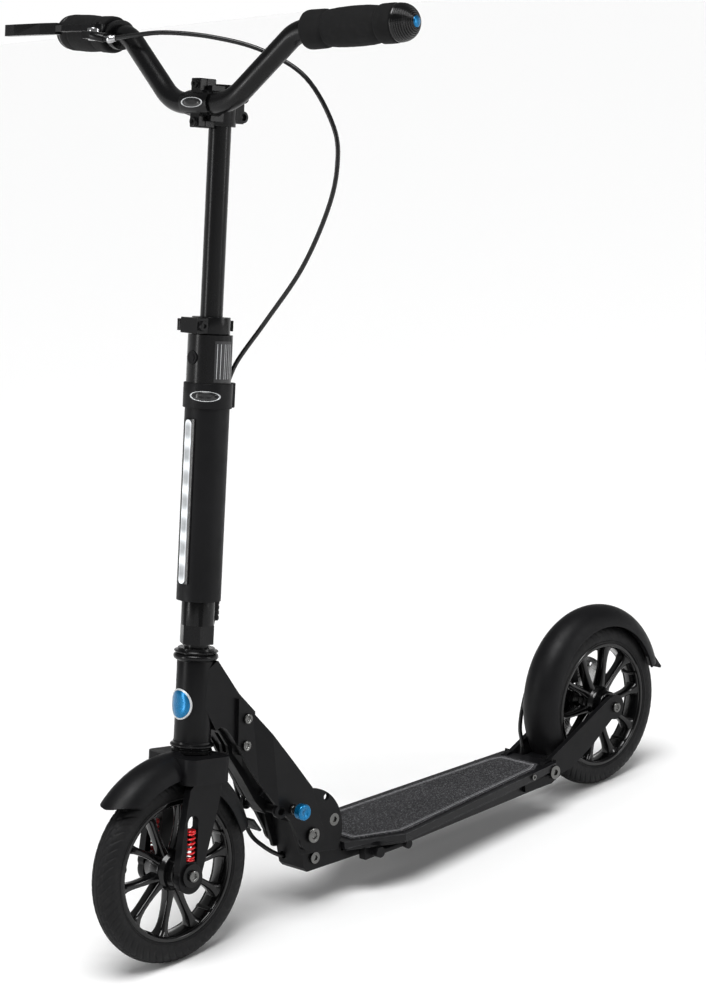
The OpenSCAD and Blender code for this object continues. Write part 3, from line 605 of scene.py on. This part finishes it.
def loft(sections, caps=True):
    """A skin over sections of the same number of points."""
    n = len(sections[0])
    verts = [p for s in sections for p in s]
    faces = [(i * n + k, i * n + (k + 1) % n, (i + 1) * n + (k + 1) % n, (i + 1) * n + k)
             for i in range(len(sections) - 1) for k in range(n)]
    if caps:
        faces.append(tuple(range(n - 1, -1, -1)))
        faces.append(tuple((len(sections) - 1) * n + k for k in range(n)))
    return verts, faces


def rounded_section(centre, across, over, half_w, half_h, power=3.0, count=20):
    """A rounded rectangle about a point."""
    out = []
    for k in range(count):
        a = TURN * (k + 0.5) / count
        c, s = math.cos(a), math.sin(a)
        x = half_w * math.copysign(abs(c) ** (2 / power), c)
        y = half_h * math.copysign(abs(s) ** (2 / power), s)
        out.append(centre + across * x + over * y)
    return out


LOOKS = make_materials()
make_camera()
make_world()
make_lights()
make_floor()

# ---------------------------------------------------------------- finishes of the CAD nodes

# a slot's material has the slot's own name, apart from these
SLOT_LOOK = {"blue_anodised": "blue", "red_spring": "red", "led_lens": "led", "led_board": "board"}
NODE_LOOK = {
    "deck_frame": "extrusion", "rotor": "rotor", "sliders": "black_anodised", "lock_nut": "black_anodised",
}
# the radius of the rounded edges, in millimetres
ROUNDED = {
    "deck_frame": 0.8, "nose_block": 1.2, "cheek_left": 0.8, "cheek_right": 0.8, "arm_left": 1.0,
    "arm_right": 1.0, "head_frame": 1.2, "fork": 1.2, "stem": 1.6, "faceplate": 1.0, "crown_cover": 2.2,
    "rear_fender": 0.5, "fold_lever": 1.2, "rear_yoke": 1.0, "swing_arm_left": 1.0, "swing_arm_right": 1.0,
    "caliper": 1.4, "caliper_arm": 0.8, "kick_leg": 0.9, "kick_bracket": 1.2, "brake_lever": 2.4,
    "brake_bracket": 0.6, "clamp_lever": 0.7, "collar": 0.8, "height_clamp": 0.7, "lock_nut": 0.6,
    "frame_bolts": 1.3, "pivot_bolt": 1.6, "arm_bolts": 1.3, "rear_axle": 1.2, "front_axle": 1.2,
}


def dress_cad():
    slots = {s["node"]: s["material_slot"] for s in frame["record"]["subparts"]}
    for name, obj in NODES.items():
        slot = slots[name]
        look = NODE_LOOK.get(name, SLOT_LOOK.get(slot, slot))
        obj.data.materials.clear()
        obj.data.materials.append(LOOKS[look])
        if name in ROUNDED:
            weld = obj.modifiers.new("weld", "WELD")
            weld.merge_threshold = 0.00002
            bevel = obj.modifiers.new("bevel", "BEVEL")
            bevel.width = ROUNDED[name] * MM
            bevel.segments = 2
            bevel.limit_method = "ANGLE"
            bevel.angle_limit = math.radians(40)
            bevel.use_clamp_overlap = True


dress_cad()

# ---------------------------------------------------------------- brake cable

ROUTE_UPPER = [col(*p) for p in (
    (47.8, -128.6, 856.5), (36, -103, 861), (18, -72, 865), (-8, -28, 862), (-35, 20, 850), (-60, 61, 824),
    (-76, 89, 775), (-79, 94, 735), (-75, 87, 690), (-63, 66, 630), (-46, 35, 575), (-33, 9, 533),
    (-28, 0.5, 511), (-22.5, 0, 495), (-19.8, 0, 484), (-19.8, 0, 470), (-19.8, 0, 440), (-19.8, 0, 380),
    (-19.8, 0, 282.6))]
ROUTE_LOWER = [mm(*p) for p in (
    (294, 0, 308.4), (294.4, 0, 296.3), (296, -1, 283.3), (297.5, -7, 268), (300, -14, 249.6),
    (291, -25, 228), (284, -29, 195), (272, -33, 150), (258, -37, 105), (250, -38, 60), (245, -32, 25),
    (236, -20, 8), (222, -13, -4), (212, -12, -6))]
ROUTE_REAR = [mm(*p) for p in (
    (118, -18, -18), (40, -18, -18), (-50, -18, -18), (-115, -18, -19), (-148, -19, -19.5),
    (-166, -21, -20.5), (-178, -22.8, -15), (-184, -22.9, -4), (-187, -23.2, 9), (-190.5, -28, 25),
    (-199, -31, 45), (-216, -37, 66), (-234, -41.5, 87), (-246, -41.5, 102))]
CABLE_R = 2.4 * MM
CABLE_STEPS = 8
# the numbers of the route points where the hose enters the light housing, and where the clip holds it
GUIDE_POINT = 13
CLIP_POINT = 7


def make_cables():
    upper = curve_points(ROUTE_UPPER, CABLE_STEPS)
    free = upper[:CABLE_STEPS * GUIDE_POINT + 1]
    hidden = upper[CABLE_STEPS * GUIDE_POINT:]
    cable = add_mesh("cable_upper_hose", *sweep(free, CABLE_R, 16), "cable", slot="cable",
                     replaces=["cable_upper"])
    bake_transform(cable)
    add_mesh("cable_upper_run", *sweep(hidden, CABLE_R, 12), "cable", "column", "cable")
    lower = curve_points(ROUTE_LOWER, CABLE_STEPS)
    split = CABLE_STEPS * CLIP_POINT
    above, below = lower[:split + 1], lower[split:]
    top = add_mesh("cable_lower_top", *sweep(above, CABLE_R, 16), "cable", slot="cable",
                   replaces=["cable_lower"])
    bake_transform(top)
    bottom = add_mesh("cable_lower_end", *sweep(below, CABLE_R, 16), "cable", slot="cable")
    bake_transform(bottom)
    direction = (above[-1] - above[-2]).normalized()
    clip = [(-5, 2.5), (-5, 3.7), (-4.4, 4.0), (4.4, 4.0), (5, 3.7), (5, 2.5)]
    add_mesh("cable_clip", *lathe(clip, above[-1], direction, 40, closed=True), "black_plastic",
             "folding_arm", "cable")
    rear = curve_points(ROUTE_REAR, CABLE_STEPS)
    hose = add_mesh("cable_rear_hose", *sweep(rear, CABLE_R, 16), "cable", slot="cable",
                    replaces=["cable_rear"])
    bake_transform(hose)


make_cables()

# ---------------------------------------------------------------- handlebar, grips and plugs

# the bar's centre line in the column frame: its middle, its two bends and its end
BAR_MID = Vector((26, 0, 792))
BAR_BEND = Vector((26, 44, 792))
BAR_RISE = Vector((18.2, 130, 863))
BAR_END = Vector((-4.3, 260, 870.8))
BAR_R = 11.1
GRIP_DIR = (BAR_END - BAR_RISE).normalized()


def bend(a, corner, b, trim, n):
    """A curve that rounds a corner, starting trim away from it on each side."""
    p, q = corner + (a - corner).normalized() * trim, corner + (b - corner).normalized() * trim
    return [p * (1 - s) ** 2 + corner * 2 * s * (1 - s) + q * s * s for s in (i / n for i in range(n + 1))]


def grip_place(s, side):
    """A point on the grip's centre line, and the outward direction there."""
    p = BAR_RISE + GRIP_DIR * s
    d = GRIP_DIR
    point = col(p.x, side * p.y, p.z)
    direction = (FWD * d.x + Y * (side * d.y) + AXIS * d.z).normalized()
    return point, direction


def make_handlebar():
    half = bend(BAR_MID, BAR_BEND, BAR_RISE, 22, 24) + bend(BAR_BEND, BAR_RISE, BAR_END, 13, 14) + [BAR_END]
    line = [Vector((p.x, -p.y, p.z)) for p in reversed(half)] + half
    verts, faces = sweep([col(*p) for p in line], BAR_R * MM, 48)
    add_mesh("handlebar_tube", verts, faces, "black_anodised", "t_bar", "black_anodised", ["handlebar"])


def smooth_profile(points, n=6):
    """Fills a profile in with a smooth curve."""
    fine = curve_points([Vector((a, r, 0)) for a, r in points], n)
    return [(p.x, p.y) for p in fine]


def make_grip(name, s0, s1, side, node):
    place, direction = grip_place(s0, side)
    length = s1 - s0
    ring = [(0, 11.15), (0, 17.2), (0.8, 18.6), (2.4, 19.2), (6, 19.4), (20, 19.2), (23, 18.9), (24.4, 17.6)]
    bulge = smooth_profile([(25.2, 17.2), (27, 17.9), (32, 18.6), (42, 19.3), (58, 19.7), (74, 19.3),
                            (length - 26, 18.5), (length - 20.5, 17.4)], 4)
    end = [(length - 19.6, 17.0), (length - 18.6, 18.4), (length - 17, 19.3), (length - 10, 19.5),
           (length - 3, 19.4), (length - 1, 18.9), (length, 18), (length, 11.15)]

    def foam(a, along, radius):
        if radius < 15:
            return 0
        p = Vector((math.cos(a) * radius, math.sin(a) * radius, along)) * 0.22
        return noise.fractal(p, 1.0, 2.0, 3) * 0.16

    add_mesh(name, *lathe(ring + bulge + end, place, direction, 128, foam, closed=True), "grip_foam",
             "t_bar", "grip_foam", [node])


def make_plug(side):
    place, direction = grip_place(122.2, side)
    profile = [(0, 11.2), (0, 18.4), (0.4, 18.9), (2.6, 18.9)]
    # a dome of turned ridges
    ridges, per_ridge, top = 9, 10, math.radians(68)
    for i in range(ridges * per_ridge + 1):
        s = i / (ridges * per_ridge)
        a = top * s
        cut = 1.25 * (1 - abs(math.sin(math.pi * ridges * s)) ** 0.55)
        profile.append((3.0 + (18.2 - cut) * math.sin(a), (18.8 - cut) * math.cos(a)))
    profile += [(20.0, 6.6), (20.3, 6.2), (19.4, 6.0), (19.4, 0.01)]
    name = "left" if side > 0 else "right"
    add_mesh("plug_" + name, *lathe(profile, place, direction, 96), "gloss_black", "t_bar", "rubber",
             ["bar_plugs"] if side > 0 else ())
    disc = [(19.45, 0.01), (19.45, 5.8), (20.4, 5.7), (21.1, 5.0), (21.6, 3.2), (21.8, 0.01)]
    add_mesh("plug_cap_" + name, *lathe(disc, place, direction, 48), "blue", "t_bar", "blue_anodised")


make_handlebar()
make_grip("grip_left_foam", 14, 122, 1, "grip_left")
make_grip("grip_right_foam", 32, 122, -1, "grip_right")
make_plug(1)
make_plug(-1)

# ---------------------------------------------------------------- wheels

WHEEL_R = 100
TYRE_HALF_W = 15.2
TREAD_CUTS = 60
SPOKE_PAIRS = 5


def tyre_profile():
    """The tyre's outside: round over the tread, nearly straight down the walls to the rim."""
    centre = WHEEL_R - TYRE_HALF_W
    steps = 52
    wall = [(13.75, 76.5), (14.2, 77.6), (14.55, 79.4), (14.8, 81.4), (15.0, 83)]
    points = list(wall)
    for i in range(steps + 1):
        a = math.pi * i / steps
        points.append((TYRE_HALF_W * math.cos(a), centre + TYRE_HALF_W * math.sin(a)))
    return points + [(-y, r) for y, r in reversed(wall)]


def tread(a, along, radius):
    """Two ring grooves a side, short cuts between them, and cuts that sweep back over the shoulder."""
    tread_r, inner_groove, outer_groove, shoulder = 82, 2.6, 7.4, 8.0
    if radius < tread_r:
        return 0
    y = abs(along)
    depth = 0.0
    for groove, width in ((inner_groove, 0.5), (outer_groove, 0.6)):
        depth += 0.9 * math.exp(-((y - groove) / width) ** 2)
    cut = math.cos(TREAD_CUTS * a + 0.5 * (y - inner_groove) + 0.03 * (y - inner_groove) ** 2)
    if y > shoulder:
        depth += 1.35 * max(0.0, cut - 0.25) / 0.75 * min(1, (y - shoulder) / 0.8)
    elif 3.2 < y < 6.8:
        depth += 1.0 * max(0.0, cut - 0.6) / 0.4
    return -depth


def make_tyre(name, axle, body, node):
    inside = [(-12.2, 75.4), (-10.4, 74.5), (10.4, 74.5), (12.2, 75.4)]
    add_mesh(name, *lathe(tyre_profile() + inside, axle, Y, 1008, tread, closed=True), "tyre", body, "tyre",
             [node])
    bead = [(13.9, 77.2), (14.5, 77.6), (14.8, 78.2), (14.6, 78.8), (14.0, 78.6)]
    for side, letter in ((-1, "right"), (1, "left")):
        ring = [(side * y, r) for y, r in bead]
        add_mesh(name + "_bead_" + letter, *lathe(ring, axle, Y, 192, closed=True), "tyre", body, "tyre")


def spoke_directions(a):
    """Outward and across at an angle about the axle."""
    return Vector((math.cos(a), 0, math.sin(a))), Vector((-math.sin(a), 0, math.cos(a)))


def make_rim(name, axle, body, node):
    half = [(13.4, 72.0), (13.5, 73.2), (13.3, 74.9), (12.8, 75.8), (12.1, 75.9), (11.3, 75.0), (10.6, 73.9)]
    rim = [(-y, r) for y, r in half] + [(y, r) for y, r in reversed(half)]
    rim += [(12.9, 71.2), (11.8, 70.9), (10.6, 71.3), (9.2, 70.1), (0, 69.2), (-9.2, 70.1), (-10.6, 71.3),
            (-11.8, 70.9), (-12.9, 71.2)]
    hub = [(-22.8, 11.2), (-22.8, 15.4), (-22.2, 16.6), (-21, 17), (-13, 17.4), (-9.6, 19.4), (-7.6, 21.6),
           (-6, 22.4), (6, 22.4), (7.6, 21.6), (9.6, 19.4), (13, 17.4), (21, 17), (22.2, 16.6), (22.8, 15.4),
           (22.8, 11.2)]
    parts = [lathe(rim, axle, Y, 192, closed=True), lathe(hub, axle, Y, 96, closed=True)]
    # each spoke's radius, half width and half height from the hub to the rim
    stations = [(14, 6.6, 8.2), (20, 5.6, 7.8), (26, 4.6, 7.3), (34, 3.9, 6.8), (44, 3.6, 6.4),
                (52, 3.7, 6.3), (58, 4.1, 6.6), (63, 5.0, 7.2), (67, 6.6, 8.2),
                (70, 8.8, 9.4), (72, 11.0, 10.2)]
    # bosses cast on the barrel: the place across the rim, and the height
    boss = ((-11.5, 0.3), (-11, 0.9), (-9, 1.1), (9, 1.1), (11, 0.9), (11.5, 0.3))
    for k in range(SPOKE_PAIRS):
        base = TURN * k / SPOKE_PAIRS - math.pi / 2
        for s in (-1, 1):
            sections = []
            for r, half_w, half_h in stations:
                # the pair starts close at the hub and spreads towards the rim
                spread = s * math.radians(13.5 + 5.5 * (r - 14) / 58 - 60 / (r + 8))
                out, across = spoke_directions(base + spread)
                sections.append(rounded_section(axle + out * (r * MM), across, Y, half_w * MM, half_h * MM,
                                                3.2))
            parts.append(loft(sections))
        for shift in (-36, 36):
            out, across = spoke_directions(base + math.radians(shift))
            foot = axle + out * (69.4 * MM)
            parts.append(loft([rounded_section(foot + Y * (y * MM), across, out, 2.4 * MM, h * MM, 2.6, 16)
                               for y, h in boss]))
    verts, faces = join_parts(parts)
    obj = add_mesh(name, verts, faces, "gloss_black", body, "gloss_black", [node])
    sharpen(obj, 50)


make_tyre("front_tyre_rubber", FRONT_AXLE, "front_wheel", "front_tyre")
make_tyre("rear_tyre_rubber", REAR_AXLE, "rear_wheel", "rear_tyre")
make_rim("front_rim_cast", FRONT_AXLE, "front_wheel", "front_rim")
make_rim("rear_rim_cast", REAR_AXLE, "rear_wheel", "rear_rim")

# ---------------------------------------------------------------- springs

AXLE_U = 23 * math.cos(RAKE)


def make_springs():
    for side in (-1, 1):
        name = "left" if side > 0 else "right"
        spring = helix(col(AXLE_U, side * 29.6, 10.2), AXIS, 34 * MM, 6.2 * MM, 1.15 * MM, 8)
        coil = add_mesh("fork_spring_" + name, *spring, "red", "column", "red_spring",
                        ["fork_springs"] if side > 0 else ())
        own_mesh(coil)
    spring = helix(mm(115, 39, -21), -X, 19 * MM, 2.5 * MM, 0.45 * MM, 12, closed_ends=False)
    add_mesh("kick_spring_coil", *spring, "steel", "deck", "steel", ["kick_spring"])


make_springs()

# ---------------------------------------------------------------- front mudguard and headset rings

def make_front_guard():
    """A half round shell whose crown runs on past its skirts to a rounded tip."""
    centre = mm(378, 0, 34)
    arch_r, outer_r, inner_r = 99, 24.9, 22.7
    back_end = 98
    rows, cols = 30, 28

    def shell(radius, i, j):
        phi = math.radians(-88 + 176 * j / cols)
        tip = 46.5 + 13 * abs(phi / 1.57) ** 1.7
        a = math.radians(tip + (back_end - tip) * i / rows)
        out = Vector((math.cos(a), 0, math.sin(a)))
        return centre + out * ((arch_r + radius * math.cos(phi)) * MM) + Y * (radius * math.sin(phi) * MM)

    n = cols + 1
    outer = [[shell(outer_r, i, j) for j in range(n)] for i in range(rows + 1)]
    inner = [[shell(inner_r, i, j) for j in range(n)] for i in range(rows + 1)]
    verts, faces = loft([o + k[::-1] for o, k in zip(outer, inner)], caps=False)
    last = rows * 2 * n
    for start in (0, last):
        faces += [(start + j, start + j + 1, start + 2 * n - 2 - j, start + 2 * n - 1 - j)
                  for j in range(n - 1)]
    guard = add_mesh("front_guard", verts, faces, "black_plastic", "column", "black_plastic",
                     ["front_fender"])
    sharpen(guard, 50)


def make_headset():
    """The head tube's two ring stacks: (place up the axis, radius) in the column frame."""
    upper = [(216.6, 12.9), (216.6, 20.2), (217.4, 20.8), (218.2, 22.6), (219.6, 23.5), (221.4, 23.6),
             (223, 22.9), (224, 21.4), (224.4, 20.2), (225.2, 20.2), (225.6, 22.6), (226.4, 23.2),
             (227.2, 22.7), (227.6, 20), (229.9, 19.2), (229.9, 12.9)]
    lower = [(118.5, 12.9), (118.5, 20.4), (119.2, 21.2), (122.2, 21.4), (123, 20.2), (124, 19.8),
             (125, 20.2), (125.6, 22.4), (126.4, 23.1), (127.6, 23.1), (128.4, 22.2), (129, 20.6),
             (131, 20.2), (131, 12.9)]
    start = 34
    for name, profile in (("upper", upper), ("lower", lower)):
        turned = lathe([(t - start, r) for t, r in profile], col(0, 0, start), AXIS, 96, closed=True)
        ring = add_mesh("headset_" + name, *turned, "black_anodised", "folding_arm", "black_anodised",
                        ["headset_cups"] if name == "upper" else ())
        sharpen(ring, 40)


def make_lever_barrel():
    """The bright pivot barrel of the brake lever, and the ferrule that takes the hose."""
    barrel = [(-5.6, 0.01), (-5.6, 4.6), (-5.2, 5.6), (-4.4, 6.2), (-3.6, 6.2), (-3.2, 5.2), (2.2, 5.2),
              (2.8, 6.6), (3.6, 7.2), (6.4, 7.2), (7.2, 6.8), (7.6, 5.6), (7.6, 3.0), (6.4, 2.6), (6.4, 0.01)]
    bolt = add_mesh("lever_barrel", *lathe(barrel, col(49, -152, 861), AXIS, 64), "barrel", "t_bar",
                    "black_anodised")
    sharpen(bolt, 35)
    ferrule = [(0, 2.5), (0, 3.6), (0.8, 4.2), (5.4, 4.2), (6, 3.4), (9.4, 3.4), (10, 2.5)]
    route = curve_points(ROUTE_UPPER[:3], CABLE_STEPS)
    direction = (route[6] - route[0]).normalized()
    turned = lathe(ferrule, route[0] - direction * 0.001, direction, 40, closed=True)
    add_mesh("hose_ferrule", *turned, "barrel", "t_bar", "black_anodised")


make_front_guard()
make_headset()
make_lever_barrel()

# ---------------------------------------------------------------- lock knob

def make_knob():
    place = mm(234.36, 0, 61.17)
    # rings along the grip, close together to keep its shading even
    grip = [(43.6 + 0.35 * i, 8.9) for i in range(17)]
    head = [(42, 3.7), (42, 8.2), (42.5, 8.8), (43.4, 8.9)] + grip
    head += [(49.8, 8.8), (50.6, 8.3), (51, 7.4), (51, 3.6), (50.4, 3.2), (50.4, 0.01)]
    add_mesh("knob_head", *lathe(head, place, Y, 168), "blue", "knob", "blue_anodised", ["lock_knob"])
    pin = [(25.5, 0.01), (25.5, 3.2), (26, 3.6), (30.7, 3.6), (30.7, 5.4), (31, 5.6), (34.7, 5.6), (35, 5.4),
           (35, 3.6), (42, 3.6), (42, 0.01)]
    stud = add_mesh("knob_pin", *lathe(pin, place, Y, 48), "steel", "knob", "blue_anodised")
    sharpen(stud, 35)


make_knob()

# ---------------------------------------------------------------- grip tape border, badges and label

def ribbon(points, width, height):
    """A closed flat strip of even width along points in the XY plane, in millimetres."""
    thickness = 0.35
    verts, faces = [], []
    n = len(points)
    for i, p in enumerate(points):
        a, b = points[(i - 1) % n], points[(i + 1) % n]
        d1, d2 = (p - a).normalized(), (b - p).normalized()
        side = Vector((-(d1.y + d2.y), d1.x + d2.x, 0)).normalized()
        stretch = 1 / max(0.4, math.sqrt((1 + d1.dot(d2)) / 2))
        for k in (-1, 1):
            q = p + side * (k * width / 2 * stretch)
            for z in (height - thickness, height):
                verts.append(mm(q.x, q.y, z))
    for i in range(n):
        a, b = 4 * i, 4 * ((i + 1) % n)
        for k, m in ((0, 1), (1, 3), (3, 2), (2, 0)):
            faces.append((a + k, a + m, b + m, b + k))
    return verts, faces


def tape_outline(inset):
    """The grip tape's outline, drawn in from its edge."""
    points = [(148 - inset, -26 + inset * 0.4), (97 - inset * 0.3, -57 + inset),
              (-142 + inset * 0.5, -37.5 + inset), (-158 + inset, -28 + inset * 0.4)]
    points += [(x, -y) for x, y in reversed(points)]
    return [Vector((x, y, 0)) for x, y in points]


def make_tape_lines():
    for index, (inset, width) in enumerate(((5.0, 1.1), (7.6, 0.7))):
        add_mesh("tape_line_%d" % index, *ribbon(tape_outline(inset), width, 0.1), "tape_line", "deck",
                 "grip_paper", smooth=False)


def oval_badge(name, place, out, along, half_w, half_h, depth, body, radius, slot):
    """A plain oval plate with a pale rim, bent round a tube of that radius unless it is None."""
    out, along = out.normalized(), along.normalized()
    up = out.cross(along).normalized()

    def at(a, k, height):
        x, y = half_w * k * math.cos(a), half_h * k * math.sin(a)
        if radius:
            angle = x / radius
            base = place - out * (radius * MM)
            outward = out * math.cos(angle) + along * math.sin(angle)
            return base + outward * ((radius + height) * MM) + up * (y * MM)
        return place + along * (x * MM) + up * (y * MM) + out * (height * MM)

    def dish(rings):
        count = 72
        return loft([[at(TURN * j / count, k, h) for j in range(count)] for k, h in rings])

    floor = depth * 0.6
    ground = [(0.97, -0.3), (0.97, floor), (0.4, floor), (0.02, floor)]
    rim = [(1.0, -0.3), (1.0, depth * 0.8), (0.97, depth), (0.9, depth), (0.88, floor), (0.88, -0.3)]
    add_mesh(name + "_ground", *dish(ground), "badge_dark", body, slot)
    add_mesh(name + "_rim", *dish(rim), "badge", body, slot)


def make_oval_badges():
    angle = math.radians(42)
    out = FWD * math.cos(angle) + Y * math.sin(angle)
    along = -FWD * math.sin(angle) + Y * math.cos(angle)
    oval_badge("collar_badge", HEAD + AXIS * 494 * MM + out * 25.6 * MM, out, along, 17, 5.4, 0.7, "column",
               25.6, "black_plastic")
    oval_badge("stem_badge", col(39.7, 0, 792), FWD, Y, 16.5, 5.2, 0.6, "t_bar", None, "black_anodised")


def make_head_badge():
    """A blue disc on a pale one, both bent to a flatter curve than the head tube."""
    u0, bend_r, middle = 19.5, 34.0, 171
    count = 72
    for radius, depth, look in ((16.5, 1.0, "badge"), (14.6, 1.3, "blue")):
        rings = []
        for k, h in ((1.0, -0.2), (1.0, depth - 0.3), (0.97, depth), (0.5, depth), (0.02, depth)):
            ring = []
            for j in range(count):
                a = TURN * j / count
                y, t = radius * k * math.cos(a), radius * k * math.sin(a)
                wrap = y / bend_r
                ring.append(col((u0 - bend_r) + (bend_r + h) * math.cos(wrap), bend_r * math.sin(wrap),
                                middle + t))
            rings.append(ring)
        add_mesh("head_badge_%d" % int(radius * 10), *loft(rings), look, "folding_arm", "black_paint")


def sleeve_patch(name, a0, a1, t0, t1, r, look):
    """A thin film round the column from angle a0 to a1, in degrees, and from t0 to t1 up it."""
    thickness, steps = 0.2, 12
    rows = []
    for i in range(steps + 1):
        a = math.radians(a0 + (a1 - a0) * i / steps)
        out = FWD * math.cos(a) + Y * math.sin(a)
        rows.append([HEAD + out * (radius * MM) + AXIS * (t * MM) for radius, t in
                     ((r - thickness, t0), (r, t0), (r, t1), (r - thickness, t1))])
    add_mesh(name, *loft(rows), look, "column", "black_plastic", smooth=False)


def make_sleeve_label():
    """A plain film label on the sleeve, with pale rules and no lettering."""
    sleeve_patch("sleeve_label", 62, 128, 508.5, 551, 23.45, "label")
    for i, (a, width) in enumerate(((68, 1.6), (78, 1.6), (90, 1.2), (96, 1.0), (104, 1.2), (112, 1.0))):
        sleeve_patch("label_rule_%d" % i, a, a + width, 512, 548, 23.56, "badge")


make_tape_lines()
make_oval_badges()
make_head_badge()
make_sleeve_label()
